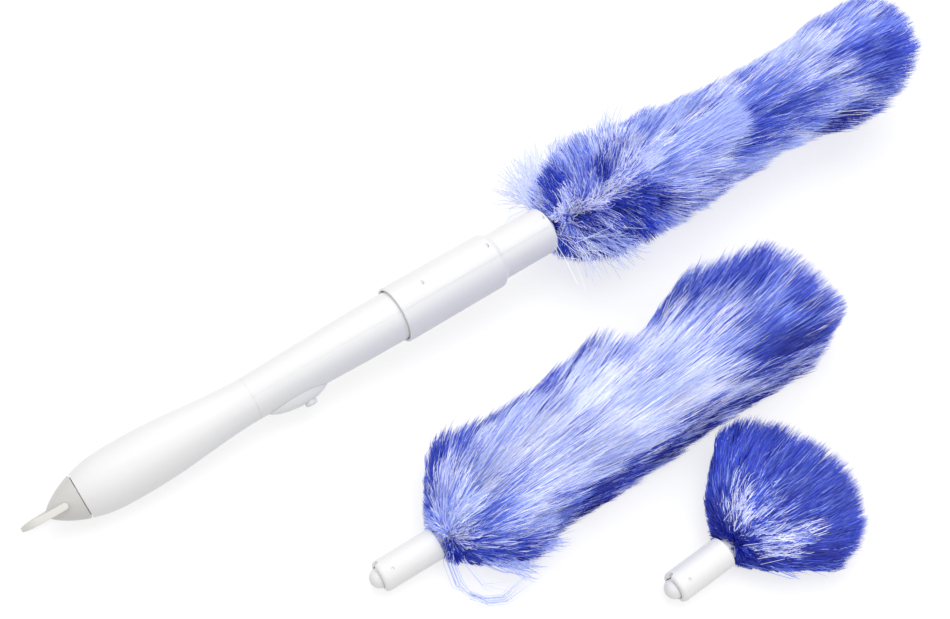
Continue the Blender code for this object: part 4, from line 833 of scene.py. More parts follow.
@dataclass(frozen=True)
class TailCap:
    """The domed tail cap and the strap that swings on it."""

    form: HandleForm
    spigot_length: float = 0.0080
    spigot_wall: float = 0.0011
    ledge_depth: float = 0.0030
    ledge_width: float = 0.0018
    hollow_depth: float = 0.0130
    wall: float = 0.0019
    pivot_depth: float = 0.0107
    loop_reach: float = 0.0275
    loop_width: float = 0.0043
    loop_thickness: float = 0.0022
    loop_crown: float = 0.0105
    loop_play: float = 0.00045
    loop_taper: float = 0.30
    seam_gap: float = 0.00065
    loop_rounding: float = 0.00080
    peg_radius: float = 0.0011
    running_gap: float = 0.00015
    rounding: float = 0.0002
    edge: float = 0.00035
    dome_steps: int = 26
    ear_angles: tuple = (78.0, 62.0, 45.0, 28.0, 12.0)
    leg_steps: int = 3
    crown_steps: int = 12

    def build(self, shop: Workshop) -> None:
        """Builds the cap and the loop.

        Args:
            shop: the workshop that dresses them.
        """
        cap = self.make_cap()
        peg_end = self.form.cap(self.pivot_depth) - self.wall
        to_cap = shop.layout.handle.inverted() @ shop.layout.loop
        for sign in (-1.0, 1.0):
            hole = rod(self.peg_radius + self.running_gap, (sign * (peg_end - REST_GAP), 0.0, 0.0),
                       (sign * self.form.seam_radius, 0.0, 0.0))
            settle(hole, to_cap)
            carve(cap, hole)
        soften(cap, self.rounding)
        finish_shape(cap, "tail_cap_shell")
        shop.hand_over(cap, "battery_cap", "cap_plastic", "tail_cap", place=shop.layout.handle)
        shop.hand_over(self.make_loop(peg_end), "hanging_loop", "loop_plastic", "hang_loop",
                       place=shop.layout.loop)

    def make_cap(self) -> bpy.types.Object:
        """Makes the tail cap.

        Returns:
            The cap along the handle's axis.
        """
        spigot = self.form.bore_radius - REST_GAP
        bore = spigot - self.spigot_wall
        ledge = bore - self.ledge_width
        depths = [self.form.cap_length * math.sin(math.pi / 2 * i / self.dome_steps)
                  for i in range(self.dome_steps)]
        start = self.seam_gap + self.edge
        rim = self.form.cap(start)
        outer = rounded((rim, -self.seam_gap), (rim - self.edge, -self.seam_gap), (rim, -start), 3)
        outer += [(self.form.cap(depth), -depth) for depth in depths if -depth < -start - self.edge]
        inner = [
            (0.0, -self.hollow_depth),
            (ledge / 2, -self.hollow_depth),
            (ledge, -self.hollow_depth + ledge / 2),
            (ledge, -self.ledge_depth),
            (bore, -self.ledge_depth),
            (bore, self.spigot_length),
            (spigot, self.spigot_length),
            (spigot, -self.seam_gap),
        ]
        return turned("tail_cap_shell", inner + outer + [(0.0, -self.form.cap_length)])

    def make_loop(self, peg_end: float) -> bpy.types.Object:
        """Bends a flat strap to a U, with a peg in each rounded ear.

        Args:
            peg_end: how far from the axis the pegs end.

        Returns:
            The loop about its pivot.
        """
        half_gap = (self.form.cap(self.pivot_depth - self.loop_width / 2) + self.loop_play
                    + self.loop_thickness / 2)
        half = self.loop_width / 2
        leg = self.loop_reach - self.loop_thickness / 2 - self.loop_crown
        ear = [math.sin(math.radians(angle)) for angle in self.ear_angles]
        side = [(half_gap, half * share, half * math.sqrt(1.0 - share ** 2)) for share in ear]
        side += [(half_gap, -leg * i / self.leg_steps, half) for i in range(self.leg_steps + 1)]
        for i in range(1, self.crown_steps + 1):
            angle = math.pi / 2 * i / self.crown_steps
            wide = half * (1.0 - self.loop_taper * math.sin(angle) ** 2)
            side.append((half_gap * math.cos(angle), -leg - self.loop_crown * math.sin(angle), wide))
        path = side + [(-x, z, wide) for x, z, wide in reversed(side[:-1])]
        deselect()
        bpy.ops.mesh.primitive_plane_add(size=1.0)
        loop = bpy.context.object
        edit(loop)
        pick(loop, lambda co: co.x > 0.0)
        bpy.ops.mesh.delete(type="VERT")
        bpy.ops.mesh.select_all(action="SELECT")
        x, z, wide = path[0]
        resize(1.0, 2 * wide, 1.0)
        bpy.ops.transform.translate(value=(x + 0.5, 0.0, z))
        for (x, z, wide), (next_x, next_z, wider) in zip(path, path[1:]):
            extrude(next_x - x, 0.0, next_z - z)
            resize(1.0, wider / wide, 1.0)
        change(loop, "SOLIDIFY", thickness=self.loop_thickness, offset=0.0)
        soften(loop, self.loop_rounding, 4, math.radians(50.0))
        for sign in (-1.0, 1.0):
            peg = rod(self.peg_radius, (sign * peg_end, 0.0, 0.0), (sign * half_gap, 0.0, 0.0))
            carve(loop, peg, "UNION")
        return finish_shape(loop, "hanging_loop_strap", math.radians(40.0))


@dataclass(frozen=True)
class Grip:
    """The swelling tube round the two cells."""

    form: HandleForm
    shoulder: float = 0.1098
    shoulder_bore: float = 0.0090
    splice: float = 0.1123
    splice_radius: float = 0.0129
    slot_half_width: float = 0.0023
    slot_low: float = -0.0141
    slot_high: float = -0.0131
    rounding: float = 0.00006
    form_steps: int = 54

    def build(self, shop: Workshop) -> None:
        """Builds the grip.

        Args:
            shop: the workshop that dresses it.
        """
        outer = run_of(self.form.grip, 0.0, self.form.waist_station, self.form_steps)
        bore = self.form.bore_radius
        inner = [
            (bore, 0.0),
            (bore, self.shoulder),
            (self.shoulder_bore, self.shoulder),
            (self.shoulder_bore, self.splice),
            (self.splice_radius, self.splice),
            (self.splice_radius, self.form.waist_station),
        ]
        grip = turned("grip_tube", wall(outer, inner))
        carve(grip, block((-self.slot_half_width, self.slot_low, -REST_GAP),
                          (self.slot_half_width, self.slot_high, self.shoulder - REST_GAP)))
        soften(grip, self.rounding)
        finish_shape(grip, "grip_tube")
        shop.hand_over(grip, "handle", "white_plastic", "grip_shell", place=shop.layout.handle)


class Half(Enum):
    """The two halves of a split shell, with the sign of their side."""

    BUTTON_SIDE = 1.0
    BACK = -1.0


def split(name: str, section: Section, half: Half, parting_gap: float) -> bpy.types.Object:
    """Turns a section and keeps one half of it.

    Args:
        name: name of the piece.
        section: its hollow section.
        half: the half that stays.
        parting_gap: gap between the two halves.

    Returns:
        The closed half.
    """
    obj = turned(name, section)
    edit(obj)
    bpy.ops.mesh.bisect(plane_co=(0.0, half.value * parting_gap / 2, 0.0), plane_no=(0.0, half.value, 0.0),
                        clear_inner=True, use_fill=True, threshold=0.000001)
    deselect()
    return obj


def build_halves(shop: Workshop, node: str, section: Section, cutters, rounding: float,
                 parting_gap: float) -> None:
    """Builds both halves of a split shell.

    Args:
        shop: the workshop that dresses them.
        node: what the names of their nodes start with.
        section: the shell's hollow section.
        cutters: gives the cutters of a half's openings.
        rounding: width of the rounding of the edges.
        parting_gap: gap between the two halves.
    """
    for half in Half:
        stands_for = f"{node}_{half.name.lower()}"
        shell = split(stands_for + "_fine", section, half, parting_gap)
        for cutter in cutters(half):
            carve(shell, cutter)
        soften(shell, rounding)
        finish_shape(shell, stands_for + "_fine")
        shop.hand_over(shell, "handle", "white_plastic", stands_for, place=shop.layout.handle)


@dataclass(frozen=True)
class Barrel:
    """The two barrel halves, the thumb pad on them and the power button."""

    form: HandleForm
    waist_gap: float = 0.00006
    splice: float = 0.1126
    splice_radius: float = 0.0126
    spigot_bore: float = 0.0108
    wall: float = 0.0018
    hook_start: float = 0.0042
    hook_depth: float = 0.00165
    hook_length: float = 0.0020
    flange: float = 0.0018
    neck_wall: float = 0.0017
    pad_station: float = 0.0320
    pad_crest: float = 0.0053
    pad_half_width: float = 0.0086
    pad_rear: float = 0.0290
    pad_front: float = 0.0212
    pad_depth: float = 0.0109
    button_station: float = 0.0335
    button_half_width: float = 0.0032
    button_half_length: float = 0.0042
    button_proud: float = 0.0030
    button_flange: float = 0.0018
    flange_thickness: float = 0.0012
    stem_radius: float = 0.0015
    stem_length: float = 0.0062
    parting_gap: float = 0.00002
    rounding: float = 0.00003
    pad_rounding: float = 0.00030
    crown_drop: float = 0.0016
    crown_flat: float = 0.25
    crown_rise: float = 0.00005
    form_steps: int = 40
    bore_steps: int = 10

    def build(self, shop: Workshop) -> None:
        """Builds the halves, the pad and the button.

        Args:
            shop: the workshop that dresses them.
        """
        build_halves(shop, "barrel_shell", self.section(),
                     lambda half: [self.opening()] if half is Half.BUTTON_SIDE else [],
                     self.rounding, self.parting_gap)
        shop.hand_over(self.make_pad(), "handle", "white_plastic", "thumb_pad", place=shop.layout.handle)
        shop.hand_over(self.make_button(), "button", "button_plastic", "power_button",
                       place=shop.layout.handle)

    def section(self) -> Section:
        """Works out the section of the barrel.

        Returns:
            The hollow section.
        """
        start = self.form.waist_station + self.waist_gap
        hook = self.form.collar_start + self.hook_start
        groove = self.form.barrel_front_radius - self.hook_depth
        end = hook + self.hook_length + self.flange
        outer = [(self.splice_radius, self.splice), (self.splice_radius, start)]
        outer += run_of(self.form.barrel, start, self.form.collar_start, self.form_steps)
        outer += [(self.form.barrel_front_radius, hook), (groove, hook), (groove, hook + self.hook_length),
                  (self.form.barrel_front_radius, hook + self.hook_length),
                  (self.form.barrel_front_radius, end)]
        neck = groove - self.neck_wall
        step = start + self.wall
        inner = [(self.spigot_bore, self.splice), (self.spigot_bore, step)]
        inner += [(radius - self.wall, station) for radius, station
                  in run_of(self.form.barrel, step, self.form.collar_start - self.flange, self.bore_steps)]
        inner += [(neck, self.form.collar_start - self.flange), (neck, end)]
        return wall(outer, inner)

    def opening(self) -> bpy.types.Object:
        """Makes the cutter of the button's oval opening.

        Returns:
            The cutter in the handle's axes.
        """
        station = self.form.waist_station + self.button_station
        radius = self.button_half_width + REST_GAP
        cutter = rod(radius, (0.0, 0.0, station), (0.0, 2 * self.form.barrel_front_radius, station))
        edit(cutter)
        resize(1.0, 1.0, (self.button_half_length + REST_GAP) / radius, station)
        deselect()
        return cutter

    def crest(self) -> float:
        """Returns how far the pad's crest stands from the axis."""
        return self.form.barrel(self.form.waist_station + self.pad_station) + self.pad_crest

    def make_pad(self) -> bpy.types.Object:
        """Makes the almond-shaped mound.

        Returns:
            The mound, cut to the barrel below it.
        """
        deselect()
        bpy.ops.mesh.primitive_uv_sphere_add(segments=72, ring_count=40, radius=1.0)
        pad = bpy.context.object
        edit(pad)
        pick(pad, lambda co: co.z > MERGE)
        resize(1.0, 1.0, self.pad_front / self.pad_rear)
        bpy.ops.mesh.select_all(action="SELECT")
        resize(self.pad_half_width, self.pad_depth, self.pad_rear)
        bpy.ops.transform.translate(value=(0.0, self.crest() - self.pad_depth,
                                           self.form.waist_station + self.pad_station))
        run = run_of(lambda z: self.form.barrel(z) + REST_GAP / 3, self.form.waist_station + REST_GAP,
                     self.form.collar_start, self.form_steps)
        under = turned("pad_underside", [(0.0, run[0][1])] + run + [(0.0, run[-1][1])])
        carve(pad, under)
        carve(pad, self.opening())
        soften(pad, self.pad_rounding, 3, math.radians(35.0))
        return finish_shape(pad, "thumb_pad_mound", math.radians(40.0))

    def make_button(self) -> bpy.types.Object:
        """Makes the oval button.

        Returns:
            The button with its flange and its stem, in the handle's axes.
        """
        station = self.form.waist_station + self.button_station
        top = self.crest() + self.button_proud
        wide = self.button_half_width + self.button_flange
        inside = self.form.barrel(station) - self.wall
        flange_top = math.sqrt(inside ** 2 - wide ** 2) - REST_GAP
        flange_low = flange_top - self.flange_thickness
        crown = rounded((self.button_half_width, top), (self.button_half_width, top - self.crown_drop),
                        (self.button_half_width * self.crown_flat, top), 8)
        stem_end = flange_low - self.stem_length
        section = [(0.0, stem_end), (self.stem_radius, stem_end),
                   (self.stem_radius, flange_low), (wide, flange_low), (wide, flange_top),
                   (self.button_half_width, flange_top), *crown, (0.0, top + self.crown_rise)]
        button = turned("power_button_cap", section, SMALL_STEPS)
        edit(button)
        stem = self.stem_radius + MERGE
        pick(button, lambda co: co.z > flange_top + MERGE or math.hypot(co.x, co.y) > stem)
        resize(1.0, self.button_half_length / self.button_half_width, 1.0)
        settle(button, Matrix.Translation((0.0, 0.0, station)) @ Matrix.Rotation(-math.pi / 2, 4, "X"))
        return button


@dataclass(frozen=True)
class FrontShells:
    """The two halves of the collar and the nose, with their screw pockets."""

    form: HandleForm
    cavity: float = 0.0186
    edge: float = 0.0009
    mouth: float = 0.01870
    lip: float = 0.0165
    lip_low: float = 0.2338
    lip_high: float = 0.2352
    motor_seat: float = 0.0125
    gear_seat: float = 0.01349
    rib_half: float = 0.0036
    rear_screw: float = 0.0230
    front_screw: float = 0.0776
    nose_screw: float = 0.0027
    ring_start: float = 0.2732
    nose_wall: float = 0.0018
    bearing: float = 0.0124
    bearing_length: float = 0.0085
    step_length: float = 0.0060
    screw_angle: float = math.radians(32.0)
    screw_seat: float = 0.0050
    pocket_radius: float = 0.0012
    shaft_radius: float = 0.00085
    shaft_end: float = 0.0048
    mouth_flare: float = 0.0006
    mouth_depth: float = 0.0012
    slope_steps: int = 10
    parting_gap: float = 0.00004
    rounding: float = 0.00007

    def build(self, shop: Workshop) -> None:
        """Builds both halves.

        Args:
            shop: the workshop that dresses them.
        """
        build_halves(shop, "front_shell", self.section(),
                     lambda half: (self.screw_hole(*place) for place in self.screw_places()),
                     self.rounding, self.parting_gap)

    def section(self) -> Section:
        """Works out the section of collar and nose.

        Returns:
            The hollow section.
        """
        form = self.form
        rim = form.collar_start
        outer_rim = rounded((form.collar_radius, rim), (form.collar_radius - self.edge, rim),
                            (form.collar_radius, rim + self.edge))
        slope_start = form.collar_end - self.step_length
        slope = []
        for i in range(self.slope_steps + 1):
            share = i / self.slope_steps
            drop = share * share * (3 - 2 * share)
            slope.append((form.collar_radius + (form.nose_radius - form.collar_radius) * drop,
                          slope_start + self.step_length * share))
        nose = rounded((form.nose_radius, form.nose_end), (form.nose_radius, form.nose_end - self.edge),
                       (form.nose_radius - self.edge, form.nose_end))
        mouth = rounded((self.mouth, rim), (self.mouth + self.mouth_flare, rim),
                        (self.mouth, rim + self.mouth_depth), 4)
        rear = rim + self.rear_screw
        front = rim + self.front_screw
        gears = self.ring_start + self.rib_half
        bearing = form.nose_end - self.bearing_length
        throat = form.nose_radius - self.nose_wall
        inner = mouth + [
            (self.mouth, self.lip_low), (self.lip, self.lip_low), (self.lip, self.lip_high),
            (self.cavity, self.lip_high), (self.cavity, rear - self.rib_half),
            (self.motor_seat, rear - self.rib_half), (self.motor_seat, rear + self.rib_half),
            (self.cavity, rear + self.rib_half), (self.cavity, gears), (self.gear_seat, gears),
            (self.gear_seat, gears + self.rib_half), (self.cavity, gears + self.rib_half),
            (self.cavity, front - self.rib_half), (self.gear_seat, front - self.rib_half),
            (self.gear_seat, front + self.rib_half), (throat, front + self.rib_half),
            (throat, bearing), (self.bearing, bearing),
            (self.bearing, form.nose_end),
        ]
        return wall(outer_rim + slope + nose, inner)

    def screw_places(self) -> list[tuple[float, float]]:
        """Works out where the six screws are.

        Returns:
            Their places across and along the handle.
        """
        collar = self.form.collar_radius * math.cos(self.screw_angle)
        nose = self.form.nose_radius * math.cos(self.screw_angle)
        places = [(collar, self.form.collar_start + self.rear_screw),
                  (collar, self.form.collar_start + self.front_screw),
                  (nose, self.form.nose_end - self.nose_screw)]
        return [(sign * across, station) for across, station in places for sign in (1.0, -1.0)]

    def screw_hole(self, across: float, station: float) -> bpy.types.Object:
        """Makes the cutter of one stepped screw hole.

        Args:
            across: its place beside the axis.
            station: its place along the axis.

        Returns:
            The cutter in the handle's axes.
        """
        section = [(0.0, -self.form.collar_radius), (self.pocket_radius, -self.form.collar_radius),
                   (self.pocket_radius, -self.screw_seat), (self.shaft_radius, -self.screw_seat),
                   (self.shaft_radius, self.shaft_end), (0.0, self.shaft_end)]
        hole = turned("screw_hole", section, 24)
        settle(hole, Matrix.Translation((across, 0.0, station)) @ Matrix.Rotation(-math.pi / 2, 4, "X"))
        return hole


# Heads
@dataclass(frozen=True)
class Shank:
    """The white shank of a head with the dome plug in its end."""

    name: str
    body: str
    radius: float = 0.0100
    length: float = 0.0400
    chamfer: float = 0.0028
    end_radius: float = 0.0082
    ferrule_radius: float = 0.0064
    ferrule_length: float = 0.0060
    dome_radius: float = 0.0062
    dome_height: float = 0.0060
    dome_recess: float = 0.0065
    groove: float = 0.0008
    bore: float = 0.0028
    notch_width: float = 0.0032
    notch_depth: float = 0.0026
    dimple_radius: float = 0.0012
    dimple_station: float = 0.0078
    bulge: float = 0.0002
    edge: float = 0.0008
    rounding: float = 0.00016
    dome_steps: int = 18
    notch_turn: float = 0.0
    dimple_turn: float = math.radians(60.0)

    def build(self, shop: Workshop, place: Matrix) -> None:
        """Builds the shank and its plug.

        Args:
            shop: the workshop that dresses them.
            place: the head's own axes.
        """
        shop.hand_over(self.make_shank(), self.body, "white_plastic", self.name + "_shank", place=place)
        shop.hand_over(self.make_plug(), self.body, "white_plastic", self.name + "_dome_plug", place=place)

    def make_shank(self) -> bpy.types.Object:
        """Makes the shank with its notch and its dimple.

        Returns:
            The shank along the head's axis.
        """
        end = self.length + self.ferrule_length
        outer = rounded((self.radius - self.bulge, self.bulge), (self.end_radius, 0.0),
                        (self.radius, self.chamfer), 7)
        outer += rounded((self.radius, self.length), (self.radius, self.length - self.edge),
                         (self.radius - self.edge, self.length), 5)
        outer += [(self.ferrule_radius, self.length), (self.ferrule_radius, end)]
        recess = self.dome_radius + self.groove
        inner = [(recess, 0.0), (recess, self.dome_recess), (self.bore, self.dome_recess),
                 (self.bore, end)]
        shank = turned(self.name + "_shank_fine", wall(outer, inner), 80)
        reach = self.radius + REST_GAP
        notch = block((-reach, -self.notch_width / 2, -REST_GAP),
                      (reach, self.notch_width / 2, self.notch_depth))
        settle(notch, Matrix.Rotation(self.notch_turn, 4, "Z"))
        carve(shank, notch)
        deselect()
        bpy.ops.mesh.primitive_uv_sphere_add(segments=20, ring_count=12, radius=self.dimple_radius)
        dimple = bpy.context.object
        turn = self.notch_turn + self.dimple_turn
        settle(dimple, Matrix.Translation((self.radius * math.cos(turn), self.radius * math.sin(turn),
                                           self.dimple_station)))
        carve(shank, dimple)
        soften(shank, self.rounding)
        return finish_shape(shank, self.name + "_shank_fine")

    def make_plug(self) -> bpy.types.Object:
        """Makes the dome plug.

        Returns:
            The plug along the head's axis.
        """
        seat = self.dome_recess - REST_GAP
        dome = []
        for i in range(self.dome_steps + 1):
            angle = math.pi / 2 * i / self.dome_steps
            dome.append((self.dome_radius * math.sin(angle), -self.dome_height * math.cos(angle)))
        return turned(self.name + "_dome_plug_fine", dome + [(self.dome_radius, seat), (0.0, seat)], 64)


class Tone(Enum):
    """Tints of the fibre, as they look."""

    WHITE = (0.985, 0.990, 1.000)
    PALE = (0.885, 0.910, 1.000)
    LIGHT = (0.740, 0.795, 0.995)
    MIDDLE = (0.500, 0.590, 0.960)
    ROYAL = (0.280, 0.370, 0.860)
    DEEP = (0.190, 0.230, 0.730)
    SHADE = (0.160, 0.170, 0.580)

    def linear(self) -> np.ndarray:
        """Returns the tint as light."""
        value = np.array(self.value)
        return np.where(value <= 0.04045, value / 12.92, ((value + 0.055) / 1.055) ** 2.4)


TONES = list(Tone)
WHITE, PALE, LIGHT, MIDDLE, ROYAL, DEEP, SHADE = TONES


def read_off(places: np.ndarray, table: Section) -> np.ndarray:
    """Reads a table of places and values at other places."""
    return np.interp(places, *np.array(table).T)


def unit(vectors: np.ndarray) -> np.ndarray:
    """Returns vectors at length one."""
    return vectors / (np.linalg.norm(vectors, axis=-1, keepdims=True) + 1e-12)


def paint(mesh: bpy.types.Mesh, tints: np.ndarray) -> None:
    """Writes a tint to every corner of a mesh.

    Args:
        mesh: the mesh.
        tints: one tint for all corners, or one for each.
    """
    colours = np.ones((len(mesh.vertices), 4), np.float32)
    colours[:, :3] = tints.reshape(-1, 3)
    layer = mesh.color_attributes.new(FibreFinish.TINT, "FLOAT_COLOR", "POINT")
    layer.data.foreach_set("color", colours.ravel())


@dataclass(frozen=True)
class Patch:
    """A place on a head where one tone gathers."""

    tone: Tone
    beyond: float
    around: float
    reach: float
    width: float
    strength: float


@dataclass(frozen=True)
class Wisps:
    """A loose spray of fibres between two places of a head, as (beyond, reach, around) from and to."""

    count: int
    tone: Tone
    root: Triple
    tip: Triple
    scatter: Triple
    bend: float = 0.3
    share: float = 0.75
    spread: Triple = (0.006, 0.001, 14.0)
    via: tuple = ()


@dataclass(frozen=True)
class Fluff:
    """The fibre of one head: its form, its layers and its tones."""

    name: str
    body: str
    slot: str
    seed: int
    fibres: int
    form: Section
    sleeve: float
    sweep: Section
    tones: dict
    near: Section = ((0.0, 1.0),)
    far: Section = ((0.0, 1.0),)
    patches: tuple = ()
    wisps: tuple = ()
    height: Section | None = None
    tilt: float | None = None
    clear: float = 0.0112
    ring_pitch: float = 0.0180
    sectors: int = 14
    clumps: int = 9
    thickness: float = 0.00028
    ragged: float = 0.0030
    root_shade: float = 0.70
    root_fade: float = 0.40
    mixing: Pair = (0.35, 0.82)
    pieces: int = 3

    SHANK_LENGTH = 0.0400
    FERRULE = 0.0063
    CORE = 0.0052
    BORE = 0.0029
    FORM_STEPS = 400
    END_WEIGHT = 0.006
    FLATTEST = 0.2
    LEVELS = np.array([[0.0, 0.45, 0.86, 1.0]])
    TAPER = (0.80, 1.0, 0.80)
    ROLL = math.radians(24.0)
    REACH_LIMIT = 0.0612
    LOWEST = 0.0006
    LOWEST_RANGE = 0.0010
    SKIN = 0.0002
    FULLNESS = (0.030, 0.022)
    LEAN = 0.10
    TWIST = (0.10, 0.06)
    LIFT = (0.06, 0.07)
    GATHER = (0.30, 0.25)
    GATHER_ALONG = 0.5
    TIP_SCATTER = 0.02
    OUTER_SHARE = 0.78
    OUTER_LAYER = (0.965, 0.05)
    INNER_LAYER = (0.60, 0.37)
    ROOT_SCATTER = (0.0030, 0.20)
    ROOT_MARGIN = 0.001
    ROOT_SHARE = 0.7
    BOW = (0.34, 0.08)
    SAG = 0.32
    WAVE = 0.0008
    WIDTHS = (0.75, 0.5)
    VIA_SCATTER = 0.5
    WISP_WAVE = (0.0012, 0.0005)
    AXIS_HEIGHT = 0.0098
    TABLE_GAP = 0.0012
    KNEE = 0.45
    TINT_NOISE = (0.15, 0.12)
    INNER_LIMIT = 0.9
    INNER_SHADE = 0.90
    BEAD = 0.008
    BEAD_DEPTH = 0.0004
    MAP_HEIGHTS = (0.10, 0.40, 0.70, 0.92)
    MAP_LOW = 0.02
    MAP_EDGE = 0.08
    MAP_WIDTH = 0.84
    TIP = 9
    CORNERS = 10

    def build(self, shop: Workshop, place: Matrix) -> None:
        """Grows the fibre and lays it on the head.

        Args:
            shop: the workshop that dresses it.
            place: the head's own axes.
        """
        rng = np.random.default_rng(self.seed)
        parts = [self.lay_fibres(rng)] + [self.lay_wisps(rng, wisps) for wisps in self.wisps]
        curves, tints, widths = (np.concatenate(rows) for rows in zip(*parts))
        turn = np.array(place.to_3x3())
        outward = self.outward(curves) @ turn.T
        world = curves @ turn.T + np.array(place.translation)
        floor = self.LOWEST + self.LOWEST_RANGE * rng.random(len(world))[:, None]
        world[:, :, 2] = np.maximum(world[:, :, 2], floor)
        order = np.argsort(curves[:, -1, 2], kind="stable")
        for number, part in enumerate(np.array_split(order, self.pieces), 1):
            piece = self.make_piece(rng, f"{self.name}_fibres_{number}", world[part], outward[part],
                                    tints[part], widths[part])
            shop.hand_over(piece, self.body, self.slot, self.name)
        sleeve = self.make_sleeve()
        paint(sleeve.data, SHADE.linear())
        shop.hand_over(sleeve, self.body, self.slot, self.name, place=place)

    def outward(self, curves: np.ndarray) -> np.ndarray:
        """Finds the outward direction of the head's surface.

        Args:
            curves: points in the head's axes.

        Returns:
            The direction at every point, in the same axes.
        """
        x, y, z = np.moveaxis(curves, -1, 0)
        flat = 1.0
        if self.height is not None:
            beyond = z - self.SHANK_LENGTH
            flat = read_off(beyond, self.height) / read_off(beyond, self.form)
        return unit(np.stack([x / np.maximum(flat, self.FLATTEST) ** 2, y, np.zeros_like(z)], axis=-1))

    def along_form(self) -> tuple[np.ndarray, np.ndarray, np.ndarray]:
        """Walks along the outer form.

        Returns:
            The length walked, with its places and its reaches.
        """
        points = np.array(self.form)
        steps = np.hypot(*(points[1:] - points[:-1]).T)
        length = np.concatenate([[0.0], np.cumsum(steps)])
        fine = np.linspace(0.0, length[-1], self.FORM_STEPS)
        return fine, np.interp(fine, length, points[:, 0]), np.interp(fine, length, points[:, 1])

    def lopsided(self, beyond: np.ndarray, around: np.ndarray) -> np.ndarray:
        """Works out how much farther or less far the fluff reaches than its form says.

        Args:
            beyond: places beyond the shank.
            around: directions round the axis.

        Returns:
            The share of the form's reach at each place.
        """
        side = np.sin(around)
        share = np.where(side > 0.0, read_off(beyond, self.near), read_off(beyond, self.far))
        return 1.0 + (share - 1.0) * side ** 2

    def points(self, reach: np.ndarray, angle: np.ndarray, beyond: np.ndarray,
               wave: np.ndarray) -> np.ndarray:
        """Turns reaches, directions and places to points, and presses them.

        Args:
            reach: distance of each point from the axis.
            angle: its direction round the axis.
            beyond: its place beyond the shank.
            wave: its small waviness.

        Returns:
            The points in the head's axes.
        """
        x = reach * np.cos(angle) + wave[..., 0]
        y = reach * np.sin(angle) + wave[..., 1]
        return self.press(np.stack([x, y, beyond + self.SHANK_LENGTH], axis=-1))

    def lay_fibres(self, rng: np.random.Generator) -> tuple[np.ndarray, np.ndarray, np.ndarray]:
        """Lays every fibre of the head from its root to its tip.

        Args:
            rng: the seeded source of chance.

        Returns:
            The fibres' points in the head's axes, their tints and their widths.
        """
        count = self.fibres
        length, places, reaches = self.along_form()
        share = np.cumsum(reaches + self.END_WEIGHT)
        share = (share - share[0]) / (share[-1] - share[0])
        at = np.interp(rng.random(count), share, length)
        around = rng.random(count) * 2 * np.pi

        rings = int(np.ceil(length[-1] / self.ring_pitch)) + 1
        ring = np.clip((at / self.ring_pitch).astype(int), 0, rings - 1)
        turns = around / (2 * np.pi) + 0.5 * (ring % 2) / self.sectors
        sector = (turns * self.sectors).astype(int) % self.sectors
        clump = rng.integers(0, self.clumps, count)
        tuft = (rings, self.sectors)
        lock = (*tuft, self.clumps)

        def by_tuft(deviation: float, mean: float = 0.0) -> np.ndarray:
            """Draws a value for each tuft and gives every fibre that of its own."""
            return rng.normal(mean, deviation, tuft)[ring, sector]

        def by_clump(deviation: float, mean: float = 0.0) -> np.ndarray:
            """Draws a value for each clump and gives every fibre that of its own."""
            return rng.normal(mean, deviation, lock)[ring, sector, clump]

        shift = by_clump(self.ragged)
        fullness = by_tuft(self.FULLNESS[0], 1.0) * by_clump(self.FULLNESS[1], 1.0)
        lean = by_tuft(self.LEAN, 1.0)
        twist = by_tuft(self.TWIST[0]) + by_clump(self.TWIST[1])
        centre_at = (ring + rng.random(lock)[ring, sector, clump]) * self.ring_pitch
        centre_sector = sector + rng.random(lock)[ring, sector, clump] - 0.5 * (ring % 2)
        centre_around = centre_sector / self.sectors * 2 * np.pi
        gather = self.GATHER[0] + self.GATHER[1] * rng.random(count)
        turn = (centre_around - around + np.pi) % (2 * np.pi) - np.pi
        tip_at = np.clip(at + (centre_at - at) * gather * self.GATHER_ALONG + shift, 0.0, length[-1])
        tip_around = around + turn * gather + rng.normal(0.0, self.TIP_SCATTER, count)

        tip_beyond = np.interp(tip_at, length, places)
        tip_reach = np.interp(tip_at, length, reaches) * fullness * self.lopsided(tip_beyond, tip_around)
        sweep = read_off(tip_beyond, self.sweep) * lean
        along, across = self.ROOT_SCATTER
        root_beyond = np.clip(tip_beyond - sweep + rng.normal(0.0, along, count),
                              self.FERRULE + self.ROOT_MARGIN, self.sleeve - self.ROOT_MARGIN)
        outer = rng.random(count) < self.OUTER_SHARE
        layer = np.where(outer, self.OUTER_LAYER[0] + self.OUTER_LAYER[1] * rng.random(count),
                         self.INNER_LAYER[0] + self.INNER_LAYER[1] * rng.random(count))
        tip_reach = self.CORE + (tip_reach - self.CORE) * layer
        tip_beyond = root_beyond + (tip_beyond - root_beyond) * layer
        root_around = tip_around + twist + rng.normal(0.0, across, count)

        v = self.LEVELS
        bow = self.BOW[0] + self.BOW[1] * rng.normal(0.0, 1.0, count)[:, None]
        rise = v + bow * v * (1 - v)
        run = v - self.SAG * v * (1 - v)
        root = self.CORE * self.ROOT_SHARE
        reach = root + (tip_reach[:, None] - root) * rise
        beyond = root_beyond[:, None] + (tip_beyond - root_beyond)[:, None] * run
        angle = root_around[:, None] + (tip_around - root_around)[:, None] * np.sqrt(v)
        wave = rng.normal(0.0, self.WAVE, (count, 4, 2)) * v[..., None]
        curves = self.points(reach, angle, beyond, wave)

        chances = (rng.random(tuft)[ring, sector], rng.random(lock)[ring, sector, clump], rng.random(count))
        lift = by_tuft(self.LIFT[0]) + by_clump(self.LIFT[1])
        tints = self.tint_fibres(rng, chances, lift, tip_beyond, tip_around, layer)
        widths = self.thickness * (self.WIDTHS[0] + self.WIDTHS[1] * rng.random(count))
        return curves, tints, widths

